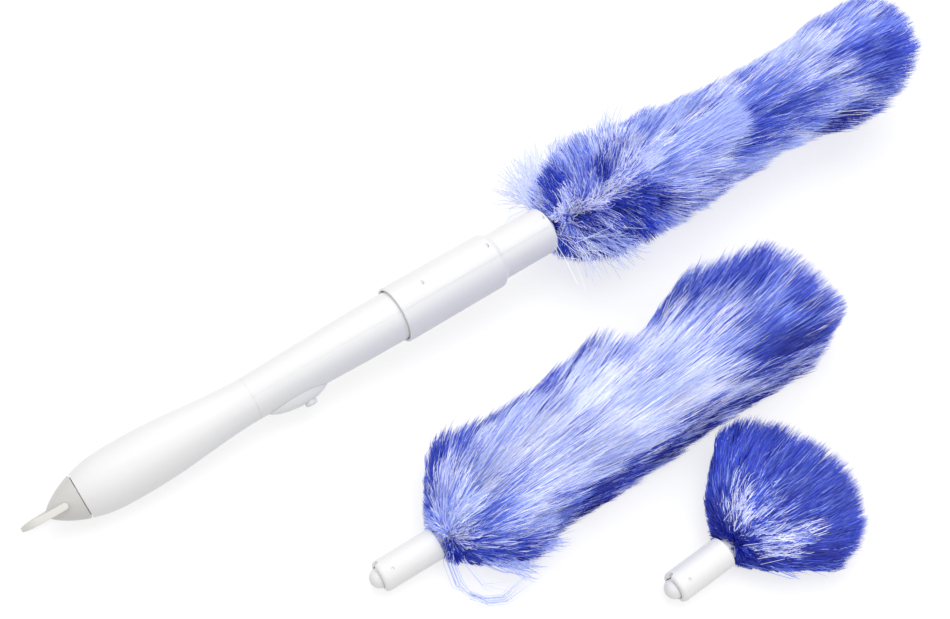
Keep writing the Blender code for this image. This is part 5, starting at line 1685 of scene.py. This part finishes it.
    def press(self, curves: np.ndarray) -> np.ndarray:
        """Presses the fibre to a fan's height and to the table that the head lies on.

        Args:
            curves: points in the head's axes.

        Returns:
            The pressed points.
        """
        x, y, z = np.moveaxis(curves, -1, 0)
        beyond = z - self.SHANK_LENGTH
        if self.height is not None:
            x = x * np.minimum(read_off(beyond, self.height) / read_off(beyond, self.form), 1.0)
        if self.tilt is not None:
            limit = self.AXIS_HEIGHT + z * math.tan(self.tilt) - self.TABLE_GAP
            depth = np.maximum(-x, 0.0)
            knee = self.KNEE * limit
            over = np.maximum(depth - knee, 0.0)
            room = limit - knee
            x = np.where(x < 0.0, -(np.minimum(depth, knee) + room * (1 - np.exp(-over / room))), x)
        first = self.SHANK_LENGTH + self.TABLE_GAP
        z = np.where(np.hypot(x, y) < self.clear, np.maximum(z, first), z)
        return np.stack([x, y, z], axis=-1)

    def tint_fibres(self, rng: np.random.Generator, chances: tuple, lift: np.ndarray, tip: np.ndarray,
                    around: np.ndarray, layer: np.ndarray) -> np.ndarray:
        """Chooses the tones of tufts, clumps and single fibres, and darkens their roots and the inner layer
        with painted shade.

        Args:
            rng: the seeded source of chance.
            chances: for each fibre the chance of its tuft, of its clump and its own.
            lift: how much lighter or darker its tuft and its clump are.
            tip: place of each tip beyond the shank.
            around: direction of each tip round the axis.
            layer: how far each fibre reaches out.

        Returns:
            A tint for each point of each fibre.
        """
        count = len(tip)
        degrees = np.degrees(around)
        weights = np.tile(np.array([self.tones.get(tone, 0.0) for tone in TONES]), (count, 1))
        for patch in self.patches:
            turn = (degrees - patch.around + 180.0) % 360.0 - 180.0
            inside = np.exp(-((tip - patch.beyond) / patch.reach) ** 4 - (turn / patch.width) ** 4)
            weights[:, TONES.index(patch.tone)] += patch.strength * inside
        weights /= weights.sum(1, keepdims=True)
        limits = np.cumsum(weights, axis=1)
        level = rng.random(count)
        by_tuft, by_clump = self.mixing
        chance = np.where(level < by_tuft, chances[0], np.where(level < by_clump, chances[1], chances[2]))
        tone = np.minimum((chance[:, None] > limits).sum(1), len(TONES) - 1)
        tint = np.array([t.linear() for t in TONES])[tone]
        tint = tint * np.exp(lift[:, None] + rng.normal(0.0, self.TINT_NOISE[0], (count, 1)))
        # Painted shade: each fibre darkens towards its root, and fibres of the inner layer are darker.
        shade = self.root_shade + (1.0 - self.root_shade) * np.clip(self.LEVELS / self.root_fade, 0.0, 1.0)
        inner = np.where(layer < self.INNER_LIMIT, self.INNER_SHADE, 1.0)[:, None]
        return np.clip(tint[:, None, :] * (shade * inner)[..., None], 0.0, 1.0)

    def lay_wisps(self, rng: np.random.Generator, wisps: Wisps) -> tuple[np.ndarray, np.ndarray, np.ndarray]:
        """Lays one spray of loose fibres.

        Args:
            rng: the seeded source of chance.
            wisps: the spray.

        Returns:
            The fibres' points in the head's axes, their tints and their widths.
        """
        count = wisps.count
        v = self.LEVELS
        start, end = (
            (np.array(middle) + np.array(scatter) * rng.normal(0.0, 1.0, (count, 3))).T[..., None]
            for middle, scatter in ((wisps.root, wisps.spread), (wisps.tip, wisps.scatter)))
        beyond = start[0] + (end[0] - start[0]) * v ** (1.0 + wisps.bend)
        reach = start[1] + (end[1] - start[1]) * v ** (1.0 - wisps.bend / 2)
        angle = np.radians(start[2] + (end[2] - start[2]) * v)
        for level, (along, out, turn) in enumerate(wisps.via, 1):
            beyond[:, level] = along + self.VIA_SCATTER * (start[0] - start[0].mean())[:, 0]
            reach[:, level] = out + self.VIA_SCATTER * (end[1] - end[1].mean())[:, 0]
            angle[:, level] = np.radians(turn)
        wave = rng.normal(0.0, self.WISP_WAVE[bool(wisps.via)], (count, 4, 2)) * v[..., None]
        curves = self.points(np.minimum(reach, self.REACH_LIMIT), angle, beyond, wave)
        tint = wisps.tone.linear() * np.exp(rng.normal(0.0, self.TINT_NOISE[1], (count, 1, 1)))
        tints = np.clip(np.broadcast_to(tint, (count, 4, 3)), 0.0, 1.0)
        return curves, tints, self.thickness * wisps.share * np.ones(count)

    def make_piece(self, rng: np.random.Generator, name: str, curves: np.ndarray, outward: np.ndarray,
                   tints: np.ndarray, widths: np.ndarray) -> bpy.types.Object:
        """Gives every fibre a three-sided tapered body with one side outward, and makes one mesh of them.

        Args:
            rng: the seeded source of chance.
            name: name of the piece.
            curves: four points of each fibre, on the table.
            outward: the outward direction at each point.
            tints: a tint for each point.
            widths: half thickness of each fibre.

        Returns:
            The piece, with its tints and its own map.
        """
        count = len(curves)
        ahead = np.roll(curves, -1, axis=1)
        ahead[:, -1] = curves[:, -1]
        run = ahead - np.roll(curves, 1, axis=1)
        run[:, 0] = curves[:, 1] - curves[:, 0]
        run = unit(run)
        side = unit(outward - run * (outward * run).sum(-1, keepdims=True))
        other = np.cross(run, side)
        roll = rng.normal(0.0, self.ROLL, (count, 1))
        corners = np.empty((count, self.CORNERS, 3))
        for level, taper in enumerate(self.TAPER):
            for k in range(3):
                angle = math.pi / 3 + 2 * math.pi * k / 3 + roll
                offset = side[:, level] * np.cos(angle) + other[:, level] * np.sin(angle)
                corners[:, level * 3 + k] = curves[:, level] + offset * (widths * taper)[:, None]
        corners[:, self.TIP] = curves[:, 3]
        corners[..., 2] = np.maximum(corners[..., 2], self.SKIN)

        faces = [(a * 3 + k, a * 3 + (k + 1) % 3, a * 3 + 3 + (k + 1) % 3, a * 3 + 3 + k)
                 for a in range(2) for k in range(3)]
        faces += [(6 + k, 6 + (k + 1) % 3, self.TIP) for k in range(3)] + [(2, 1, 0)]
        pattern = np.array([corner for face in faces for corner in face])
        loops = (pattern[None, :] + self.CORNERS * np.arange(count)[:, None]).ravel()
        totals = np.tile([len(face) for face in faces], count)
        starts = np.concatenate([[0], np.cumsum(totals)[:-1]])

        mesh = bpy.data.meshes.new(name)
        mesh.vertices.add(count * self.CORNERS)
        mesh.vertices.foreach_set("co", corners.astype(np.float32).ravel())
        mesh.loops.add(len(loops))
        mesh.loops.foreach_set("vertex_index", loops.astype(np.int32))
        mesh.polygons.add(len(totals))
        mesh.polygons.foreach_set("loop_start", starts.astype(np.int32))
        mesh.polygons.foreach_set("loop_total", totals.astype(np.int32))
        mesh.update(calc_edges=True)
        mesh.shade_flat()
        paint(mesh, tints[:, np.arange(self.CORNERS) // 3])
        self.map_piece(mesh, faces, count)
        obj = bpy.data.objects.new(name, mesh)
        bpy.context.scene.collection.objects.link(obj)
        return obj

    def map_piece(self, mesh: bpy.types.Mesh, faces: list, count: int) -> None:
        """Lays each fibre out in its own cell of the piece's map.

        Args:
            mesh: the mesh.
            faces: the faces of one fibre, as corner numbers, with the root's face last.
            count: number of fibres.
        """
        cell = []
        for number, face in enumerate(faces):
            side = number % 3
            for corner in face:
                level, k = divmod(corner, 3)
                across = side / 3 + (0.0 if k == side else 1 / 3)
                height = self.MAP_HEIGHTS[level]
                if number == len(faces) - 1:
                    across, height = k / 3, self.MAP_LOW if k == 1 else height
                elif corner == self.TIP:
                    across = side / 3 + 1 / 6
                cell.append((self.MAP_EDGE + self.MAP_WIDTH * across, height))
        columns = math.ceil(math.sqrt(count))
        spot = np.stack([np.arange(count) % columns, np.arange(count) // columns], axis=1)
        uv = (np.array(cell)[None, :, :] + spot[:, None, :]) / columns
        layer = mesh.uv_layers.new(name="OFBake")
        layer.uv.foreach_set("vector", uv.astype(np.float32).ravel())

    def make_sleeve(self) -> bpy.types.Object:
        """Makes the knotted sleeve that the fibre grows from.

        Returns:
            The sleeve along the head's axis.
        """
        low = self.SHANK_LENGTH + self.FERRULE
        high = self.SHANK_LENGTH + self.sleeve
        beads = max(6, round((high - low) / self.BEAD))
        outer = []
        for i in range(beads * 4 + 1):
            share = i / (beads * 4)
            outer.append((self.CORE + self.BEAD_DEPTH * math.sin(2 * math.pi * beads * share),
                          low + (high - low) * share))
        return turned(self.name + "_sleeve", wall(outer, [(self.BORE, low), (self.BORE, high)]), 24)


MOUNTED = Fluff(
    name="mounted_fluff", body="mounted_head", slot="mixed_fluff", seed=11, fibres=37000, sleeve=0.345,
    clear=0.0185, pieces=4,
    form=[(0.0, 0.016), (0.008, 0.030), (0.030, 0.043), (0.060, 0.046), (0.100, 0.044), (0.160, 0.0395),
          (0.220, 0.0385), (0.260, 0.041), (0.310, 0.045), (0.345, 0.044), (0.362, 0.036), (0.374, 0.022),
          (0.380, 0.005)],
    near=[(0.0, 1.0), (0.060, 1.05), (0.120, 1.18), (0.180, 1.20), (0.225, 1.12), (0.265, 1.20),
          (0.305, 1.32), (0.345, 1.20), (0.380, 1.0)],
    far=[(0.0, 1.10), (0.060, 1.06), (0.100, 0.95), (0.180, 0.82), (0.255, 0.64), (0.300, 0.80),
         (0.345, 0.78), (0.380, 0.80)],
    sweep=[(0.0, -0.012), (0.030, -0.006), (0.060, 0.001), (0.085, 0.012), (0.110, 0.038), (0.160, 0.055),
           (0.300, 0.060), (0.380, 0.060)],
    tones={WHITE: 0.08, PALE: 0.22, LIGHT: 0.32, MIDDLE: 0.27, ROYAL: 0.10, DEEP: 0.01},
    patches=tuple(Patch(*row) for row in (
        (ROYAL, 0.016, -32.0, 0.009, 22.0, 3.0),
        (ROYAL, 0.048, 10.0, 0.008, 16.0, 3.0),
        (WHITE, 0.035, 33.0, 0.028, 14.0, 3.0),
        (ROYAL, 0.040, 72.0, 0.036, 34.0, 5.0),
        (ROYAL, 0.030, 112.0, 0.030, 32.0, 5.0),
        (DEEP, 0.036, 92.0, 0.030, 30.0, 1.8),
        (LIGHT, 0.040, 70.0, 0.034, 30.0, 1.2),
        (PALE, 0.075, -5.0, 0.020, 30.0, 2.0),
        (DEEP, 0.090, 64.0, 0.012, 13.0, 2.4),
        (PALE, 0.130, 32.0, 0.038, 30.0, 2.4),
        (LIGHT, 0.130, 32.0, 0.040, 34.0, 3.6),
        (MIDDLE, 0.130, 32.0, 0.040, 34.0, 1.6),
        (WHITE, 0.138, 26.0, 0.032, 22.0, 1.4),
        (LIGHT, 0.130, -40.0, 0.034, 24.0, 1.6),
        (DEEP, 0.188, 52.0, 0.018, 20.0, 1.6),
        (MIDDLE, 0.190, 48.0, 0.026, 30.0, 3.2),
        (LIGHT, 0.190, 48.0, 0.026, 30.0, 1.0),
        (ROYAL, 0.190, 50.0, 0.022, 24.0, 5.0),
        (ROYAL, 0.230, 58.0, 0.026, 22.0, 4.0),
        (MIDDLE, 0.230, 58.0, 0.026, 24.0, 3.0),
        (PALE, 0.230, 58.0, 0.026, 24.0, 0.7),
        (MIDDLE, 0.215, 15.0, 0.036, 16.0, 2.5),
        (LIGHT, 0.205, 92.0, 0.035, 18.0, 2.5),
        (PALE, 0.246, 38.0, 0.015, 9.0, 5.0),
        (PALE, 0.270, -5.0, 0.022, 28.0, 2.4),
        (LIGHT, 0.270, -5.0, 0.022, 30.0, 2.4),
        (ROYAL, 0.285, 30.0, 0.008, 10.0, 4.0),
        (MIDDLE, 0.305, -15.0, 0.026, 16.0, 2.0),
        (ROYAL, 0.326, 55.0, 0.030, 24.0, 5.0),
        (MIDDLE, 0.326, 50.0, 0.030, 30.0, 2.4),
        (DEEP, 0.322, 58.0, 0.022, 12.0, 1.8),
        (ROYAL, 0.310, 95.0, 0.020, 17.0, 4.0),
        (DEEP, 0.275, 100.0, 0.011, 13.0, 3.0),
        (ROYAL, 0.362, 0.0, 0.016, 200.0, 1.6),
        (MIDDLE, 0.362, 0.0, 0.016, 200.0, 0.8),
    )),
    wisps=(
        Wisps(150, PALE, (0.012, 0.006, 285.0), (0.008, 0.053, 275.0), (0.010, 0.004, 18.0), 0.25, 0.65),
        Wisps(170, PALE, (0.014, 0.006, 285.0), (0.026, 0.062, 278.0), (0.012, 0.004, 14.0), 0.25, 0.65),
        Wisps(90, LIGHT, (0.030, 0.006, 280.0), (0.062, 0.060, 276.0), (0.008, 0.004, 5.0), 0.25),
        Wisps(120, LIGHT, (0.070, 0.006, 280.0), (0.098, 0.055, 278.0), (0.008, 0.004, 10.0), 0.25),
        Wisps(60, PALE, (0.012, 0.006, 85.0), (0.012, 0.052, 88.0), (0.010, 0.004, 16.0), 0.25),
        Wisps(70, LIGHT, (0.020, 0.006, 85.0), (0.038, 0.062, 88.0), (0.010, 0.005, 9.0), 0.25),
        Wisps(700, LIGHT, (0.085, 0.026, 30.0), (0.167, 0.047, 32.0), (0.004, 0.0015, 10.0), 0.1, 0.95,
              (0.012, 0.006, 9.0)),
    ),
)

MEDIUM = Fluff(
    name="medium_fluff", body="medium_head", slot="pale_fluff", seed=23, fibres=37000, sleeve=0.302,
    form=[(-0.002, 0.0125), (0.004, 0.024), (0.014, 0.034), (0.034, 0.045), (0.064, 0.0490), (0.114, 0.0490),
          (0.174, 0.047), (0.224, 0.0475), (0.264, 0.0490), (0.294, 0.048), (0.312, 0.040), (0.326, 0.025),
          (0.339, 0.008)],
    near=[(0.0, 0.70), (0.010, 0.58), (0.020, 0.64), (0.030, 0.74), (0.045, 0.85), (0.062, 0.86),
          (0.072, 0.72), (0.090, 0.62), (0.150, 0.62), (0.190, 0.55), (0.210, 0.47), (0.290, 0.47),
          (0.312, 0.50), (0.326, 0.60), (0.339, 1.0)],
    far=[(0.0, 0.90), (0.014, 1.05), (0.024, 1.28), (0.038, 1.30), (0.051, 1.20), (0.073, 1.07),
         (0.095, 1.12), (0.122, 1.12), (0.152, 1.27), (0.172, 1.47), (0.178, 1.15), (0.200, 1.04),
         (0.214, 1.10), (0.238, 1.44), (0.268, 1.60), (0.300, 1.42), (0.325, 2.05), (0.339, 2.30)],
    sweep=[(0.0, 0.0), (0.030, 0.024), (0.070, 0.060), (0.120, 0.080), (0.250, 0.080), (0.339, 0.070)],
    tones={WHITE: 0.12, PALE: 0.36, LIGHT: 0.30, MIDDLE: 0.14, ROYAL: 0.07, DEEP: 0.01},
    tilt=math.radians(3.4),
    patches=tuple(Patch(*row) for row in (
        (ROYAL, 0.036, -68.0, 0.024, 24.0, 5.0),
        (ROYAL, 0.075, -75.0, 0.007, 17.0, 4.0),
        (ROYAL, 0.116, -72.0, 0.016, 22.0, 5.0),
        (ROYAL, 0.160, -75.0, 0.008, 17.0, 4.0),
        (PALE, 0.130, 0.0, 0.105, 62.0, 3.0),
        (LIGHT, 0.130, 0.0, 0.105, 64.0, 1.4),
        (WHITE, 0.135, 5.0, 0.080, 50.0, 1.0),
        (MIDDLE, 0.050, 0.0, 0.035, 60.0, 1.6),
        (ROYAL, 0.012, 88.0, 0.014, 42.0, 6.0),
        (DEEP, 0.010, 90.0, 0.012, 34.0, 2.0),
        (ROYAL, 0.040, 82.0, 0.022, 22.0, 4.0),
        (MIDDLE, 0.085, 80.0, 0.014, 20.0, 6.0),
        (DEEP, 0.135, 82.0, 0.040, 22.0, 8.0),
        (ROYAL, 0.135, 80.0, 0.040, 24.0, 3.0),
        (ROYAL, 0.200, 54.0, 0.014, 12.0, 5.0),
        (DEEP, 0.200, 54.0, 0.012, 10.0, 4.0),
        (LIGHT, 0.262, -6.0, 0.035, 28.0, 2.0),
        (MIDDLE, 0.270, 5.0, 0.040, 40.0, 4.0),
        (ROYAL, 0.285, 5.0, 0.034, 60.0, 5.0),
        (DEEP, 0.290, 5.0, 0.030, 60.0, 1.6),
        (WHITE, 0.242, -10.0, 0.008, 10.0, 5.0),
        (DEEP, 0.275, 38.0, 0.036, 18.0, 6.0),
        (ROYAL, 0.275, 36.0, 0.038, 22.0, 5.0),
        (ROYAL, 0.255, -66.0, 0.045, 26.0, 4.0),
        (MIDDLE, 0.255, -60.0, 0.045, 30.0, 3.0),
        (DEEP, 0.110, 180.0, 0.200, 70.0, 3.0),
        (ROYAL, 0.326, 0.0, 0.016, 200.0, 3.0),
        (MIDDLE, 0.326, 0.0, 0.016, 200.0, 2.0),
    )),
    wisps=(
        Wisps(20, LIGHT, (0.008, 0.004, 92.0), (0.001, 0.040, 97.0), (0.0018, 0.0016, 2.0), 0.1, 0.5,
              (0.0045, 0.001, 4.0), ((0.001, 0.014, 95.0), (-0.002, 0.028, 97.0))),
        Wisps(20, LIGHT, (0.0005, 0.037, 97.0), (0.034, 0.049, 97.0), (0.007, 0.003, 2.0), 0.1, 0.5,
              (0.0024, 0.0018, 1.0), ((0.006, 0.0455, 97.0), (0.016, 0.0505, 97.0))),
        Wisps(9, PALE, (0.012, 0.006, 92.0), (0.024, 0.053, 97.0), (0.005, 0.002, 2.0), 0.1, 0.5,
              (0.004, 0.001, 4.0), ((0.008, 0.018, 95.0), (0.010, 0.037, 97.0))),
        Wisps(40, LIGHT, (0.036, 0.026, 88.0), (0.064, 0.044, 88.0), (0.005, 0.002, 5.0), 0.2, 0.75,
              (0.004, 0.002, 3.0)),
        Wisps(40, LIGHT, (0.022, 0.026, 88.0), (0.041, 0.050, 88.0), (0.004, 0.002, 5.0), 0.2, 0.75,
              (0.004, 0.002, 3.0)),
    ),
)

SMALL = Fluff(
    name="small_fluff", body="small_head", slot="royal_fluff", seed=37, fibres=22000, sleeve=0.056,
    form=[(0.0, 0.012), (0.015, 0.030), (0.030, 0.042), (0.045, 0.053), (0.058, 0.061), (0.072, 0.056),
          (0.085, 0.045), (0.095, 0.030), (0.100, 0.012), (0.101, 0.003)],
    near=[(0.0, 0.80)],
    far=[(0.0, 1.10), (0.045, 1.06), (0.058, 0.99), (0.071, 1.13), (0.080, 1.18), (0.101, 1.20)],
    height=[(0.0, 0.010), (0.014, 0.018), (0.044, 0.024), (0.074, 0.024), (0.101, 0.014)],
    sweep=[(0.0, 0.0), (0.016, 0.008), (0.060, 0.052), (0.101, 0.093)],
    tones={LIGHT: 0.02, MIDDLE: 0.09, ROYAL: 0.69, DEEP: 0.20},
    tilt=math.radians(5.5), sectors=18, ring_pitch=0.016, ragged=0.0012, pieces=2, mixing=(0.10, 0.40),
    patches=tuple(Patch(*row) for row in (
        (DEEP, 0.007, 0.0, 0.009, 200.0, 3.0),
        (WHITE, 0.026, -20.0, 0.011, 20.0, 0.7),
        (WHITE, 0.028, 36.0, 0.012, 20.0, 0.7),
        (LIGHT, 0.030, 8.0, 0.018, 50.0, 0.5),
        (WHITE, 0.052, 30.0, 0.006, 8.0, 0.6),
        (DEEP, 0.045, 62.0, 0.016, 18.0, 2.0),
    )),
    wisps=(
        Wisps(30, PALE, (0.012, 0.022, -20.0), (0.036, 0.046, -20.0), (0.007, 0.002, 5.0), 0.1, 0.6,
              (0.003, 0.001, 13.0)),
        Wisps(36, PALE, (0.012, 0.022, 34.0), (0.040, 0.048, 34.0), (0.008, 0.002, 5.0), 0.1, 0.6,
              (0.003, 0.001, 14.0)),
        Wisps(60, MIDDLE, (0.060, 0.022, 90.0), (0.082, 0.035, 90.0), (0.004, 0.002, 4.0), 0.2, 0.75,
              (0.004, 0.002, 3.0)),
        Wisps(60, MIDDLE, (0.030, 0.022, 90.0), (0.054, 0.046, 90.0), (0.005, 0.002, 4.0), 0.2, 0.75,
              (0.004, 0.002, 3.0)),
        Wisps(40, MIDDLE, (0.012, 0.014, 90.0), (0.030, 0.036, 90.0), (0.004, 0.002, 4.0), 0.2, 0.75,
              (0.004, 0.002, 3.0)),
    ),
)


# Studio
@dataclass(frozen=True)
class Studio:
    """The pale floor, the soft light and the camera."""

    floor_half: float = 6.0
    floor_colour: Colour = (0.34, 0.34, 0.343)
    floor_glow: float = 0.69
    sky_low: float = 0.40
    sky_high: float = 1.10
    floor_shine: float = 0.32
    lens: float = 42.82
    sensor: float = 36.0
    nearest: float = 0.01
    farthest: float = 50.0
    view_turn: float = math.radians(53.5)
    view_drop: float = math.radians(53.0)
    offset: Triple = (0.0005, -0.4012, 0.6155)
    lamps: tuple = (
        ("key_light", (0.25, 0.25, 1.50), (0.05, 0.0, 0.0), 1.3, 8.5),
        ("side_light", (-0.05, -0.95, 1.00), (0.0, 0.0, 0.0), 1.0, 2.0),
    )

    def build(self, layout: Layout) -> None:
        """Builds the studio round the object.

        Args:
            layout: where the handle lies.
        """
        self.lay_floor()
        self.light_world()
        for lamp in self.lamps:
            self.hang_lamp(*lamp)
        self.place_camera(layout)
        settings = bpy.context.scene.view_settings
        settings.view_transform = "Standard"
        LOG.info("studio with camera at %s", tuple(round(x, 3) for x in bpy.context.scene.camera.location))

    def lay_floor(self) -> None:
        """Lays the floor with a soft, almost white surface."""
        deselect()
        bpy.ops.mesh.primitive_plane_add(size=2 * self.floor_half)
        floor = bpy.context.object
        floor.name = "studio_floor"
        surface = Surface("studio_floor")
        paper = noise_in(surface.tree, 3.0, 2.0)
        dark = tuple(c * 0.985 for c in self.floor_colour)
        path = surface.node("LightPath").outputs
        seen = surface.node("Math", {0: path["Is Camera Ray"], 1: path["Is Glossy Ray"]}, operation="MAXIMUM")
        dim = (self.floor_shine / self.floor_glow,) * 3
        surface.finish(Base_Color=surface.blend(self.floor_colour, dark, paper), Roughness=0.9,
                       Emission_Color=surface.blend(dim, WHITE_LIGHT, seen.outputs[0]),
                       Emission_Strength=self.floor_glow)
        floor.data.materials.append(surface.material)

    def light_world(self) -> None:
        """Lights the world more from above than from its rim, and shows it white to the camera."""
        world = bpy.data.worlds.new("studio_world")
        bpy.context.scene.world = world
        world.use_nodes = True
        tree = world.node_tree
        background = tree.nodes["Background"]
        path = add_node(tree, "LightPath")
        direction = add_node(tree, "TexCoord")
        parts = add_node(tree, "SeparateXYZ", {0: direction.outputs["Generated"]})
        sky = spread(tree, parts.outputs["Z"], to_low=self.sky_low, to_high=self.sky_high)
        put(tree, background.inputs["Color"], (*WHITE_LIGHT, 1.0))
        put(tree, background.inputs["Strength"], spread(tree, path.outputs["Is Camera Ray"], to_low=sky))

    @staticmethod
    def hang_lamp(name: str, place: Triple, aim: Triple, size: float, power: float) -> None:
        """Hangs one soft lamp.

        Args:
            name: name of the lamp.
            place: where it hangs.
            aim: what it faces.
            size: side of its square.
            power: its power in watts.
        """
        deselect()
        bpy.ops.object.light_add(type="AREA", location=place)
        lamp = bpy.context.object
        lamp.name = name
        lamp.data.size = size
        lamp.data.energy = power
        run = Vector(aim) - Vector(place)
        lamp.rotation_euler = run.to_track_quat("-Z", "Y").to_euler()

    def place_camera(self, layout: Layout) -> None:
        """Places the camera at the photograph's viewing angle.

        Args:
            layout: where the handle lies.
        """
        seam = layout.handle.translation
        along = layout.handle.col[2].to_3d()
        side = Vector((0.0, 1.0, 0.0))
        up = along.cross(side)
        place = seam + along * self.offset[0] + side * self.offset[1] + up * self.offset[2]
        flat = math.cos(self.view_drop)
        forward = (along * flat * math.cos(self.view_turn) + side * flat * math.sin(self.view_turn)
                   - up * math.sin(self.view_drop))
        right = along * math.sin(self.view_turn) - side * math.cos(self.view_turn)
        upward = right.cross(forward)
        deselect()
        bpy.ops.object.camera_add()
        camera = bpy.context.object
        camera.name = "studio_camera"
        turn = Matrix((right, upward, -forward)).transposed().to_4x4()
        camera.matrix_world = Matrix.Translation(place) @ turn
        camera.data.sensor_width = self.sensor
        camera.data.lens = self.lens
        camera.data.clip_start = self.nearest
        camera.data.clip_end = self.farthest
        bpy.context.scene.camera = camera


def main() -> None:
    """Loads the frame, builds every sub-assembly round it, dresses what still shows of the frame and builds
    the studio.
    """
    logging.basicConfig(level=logging.INFO, format="%(message)s")
    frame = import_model()
    shop = Workshop(frame)
    form = HandleForm()
    for part in (TailCap(form), Grip(form), Barrel(form), FrontShells(form)):
        part.build(shop)
    for name, fluff in (("mounted", MOUNTED), ("medium", MEDIUM), ("small", SMALL)):
        place = getattr(shop.layout, name)
        turn = 0.0 if fluff is MOUNTED else LOOSE_NOTCH_TURN
        Shank(name, fluff.body, notch_turn=turn).build(shop, place)
        fluff.build(shop, place)
    shop.dress_frame()
    Studio().build(shop.layout)
    deselect()


if __name__ == "__main__":
    main()
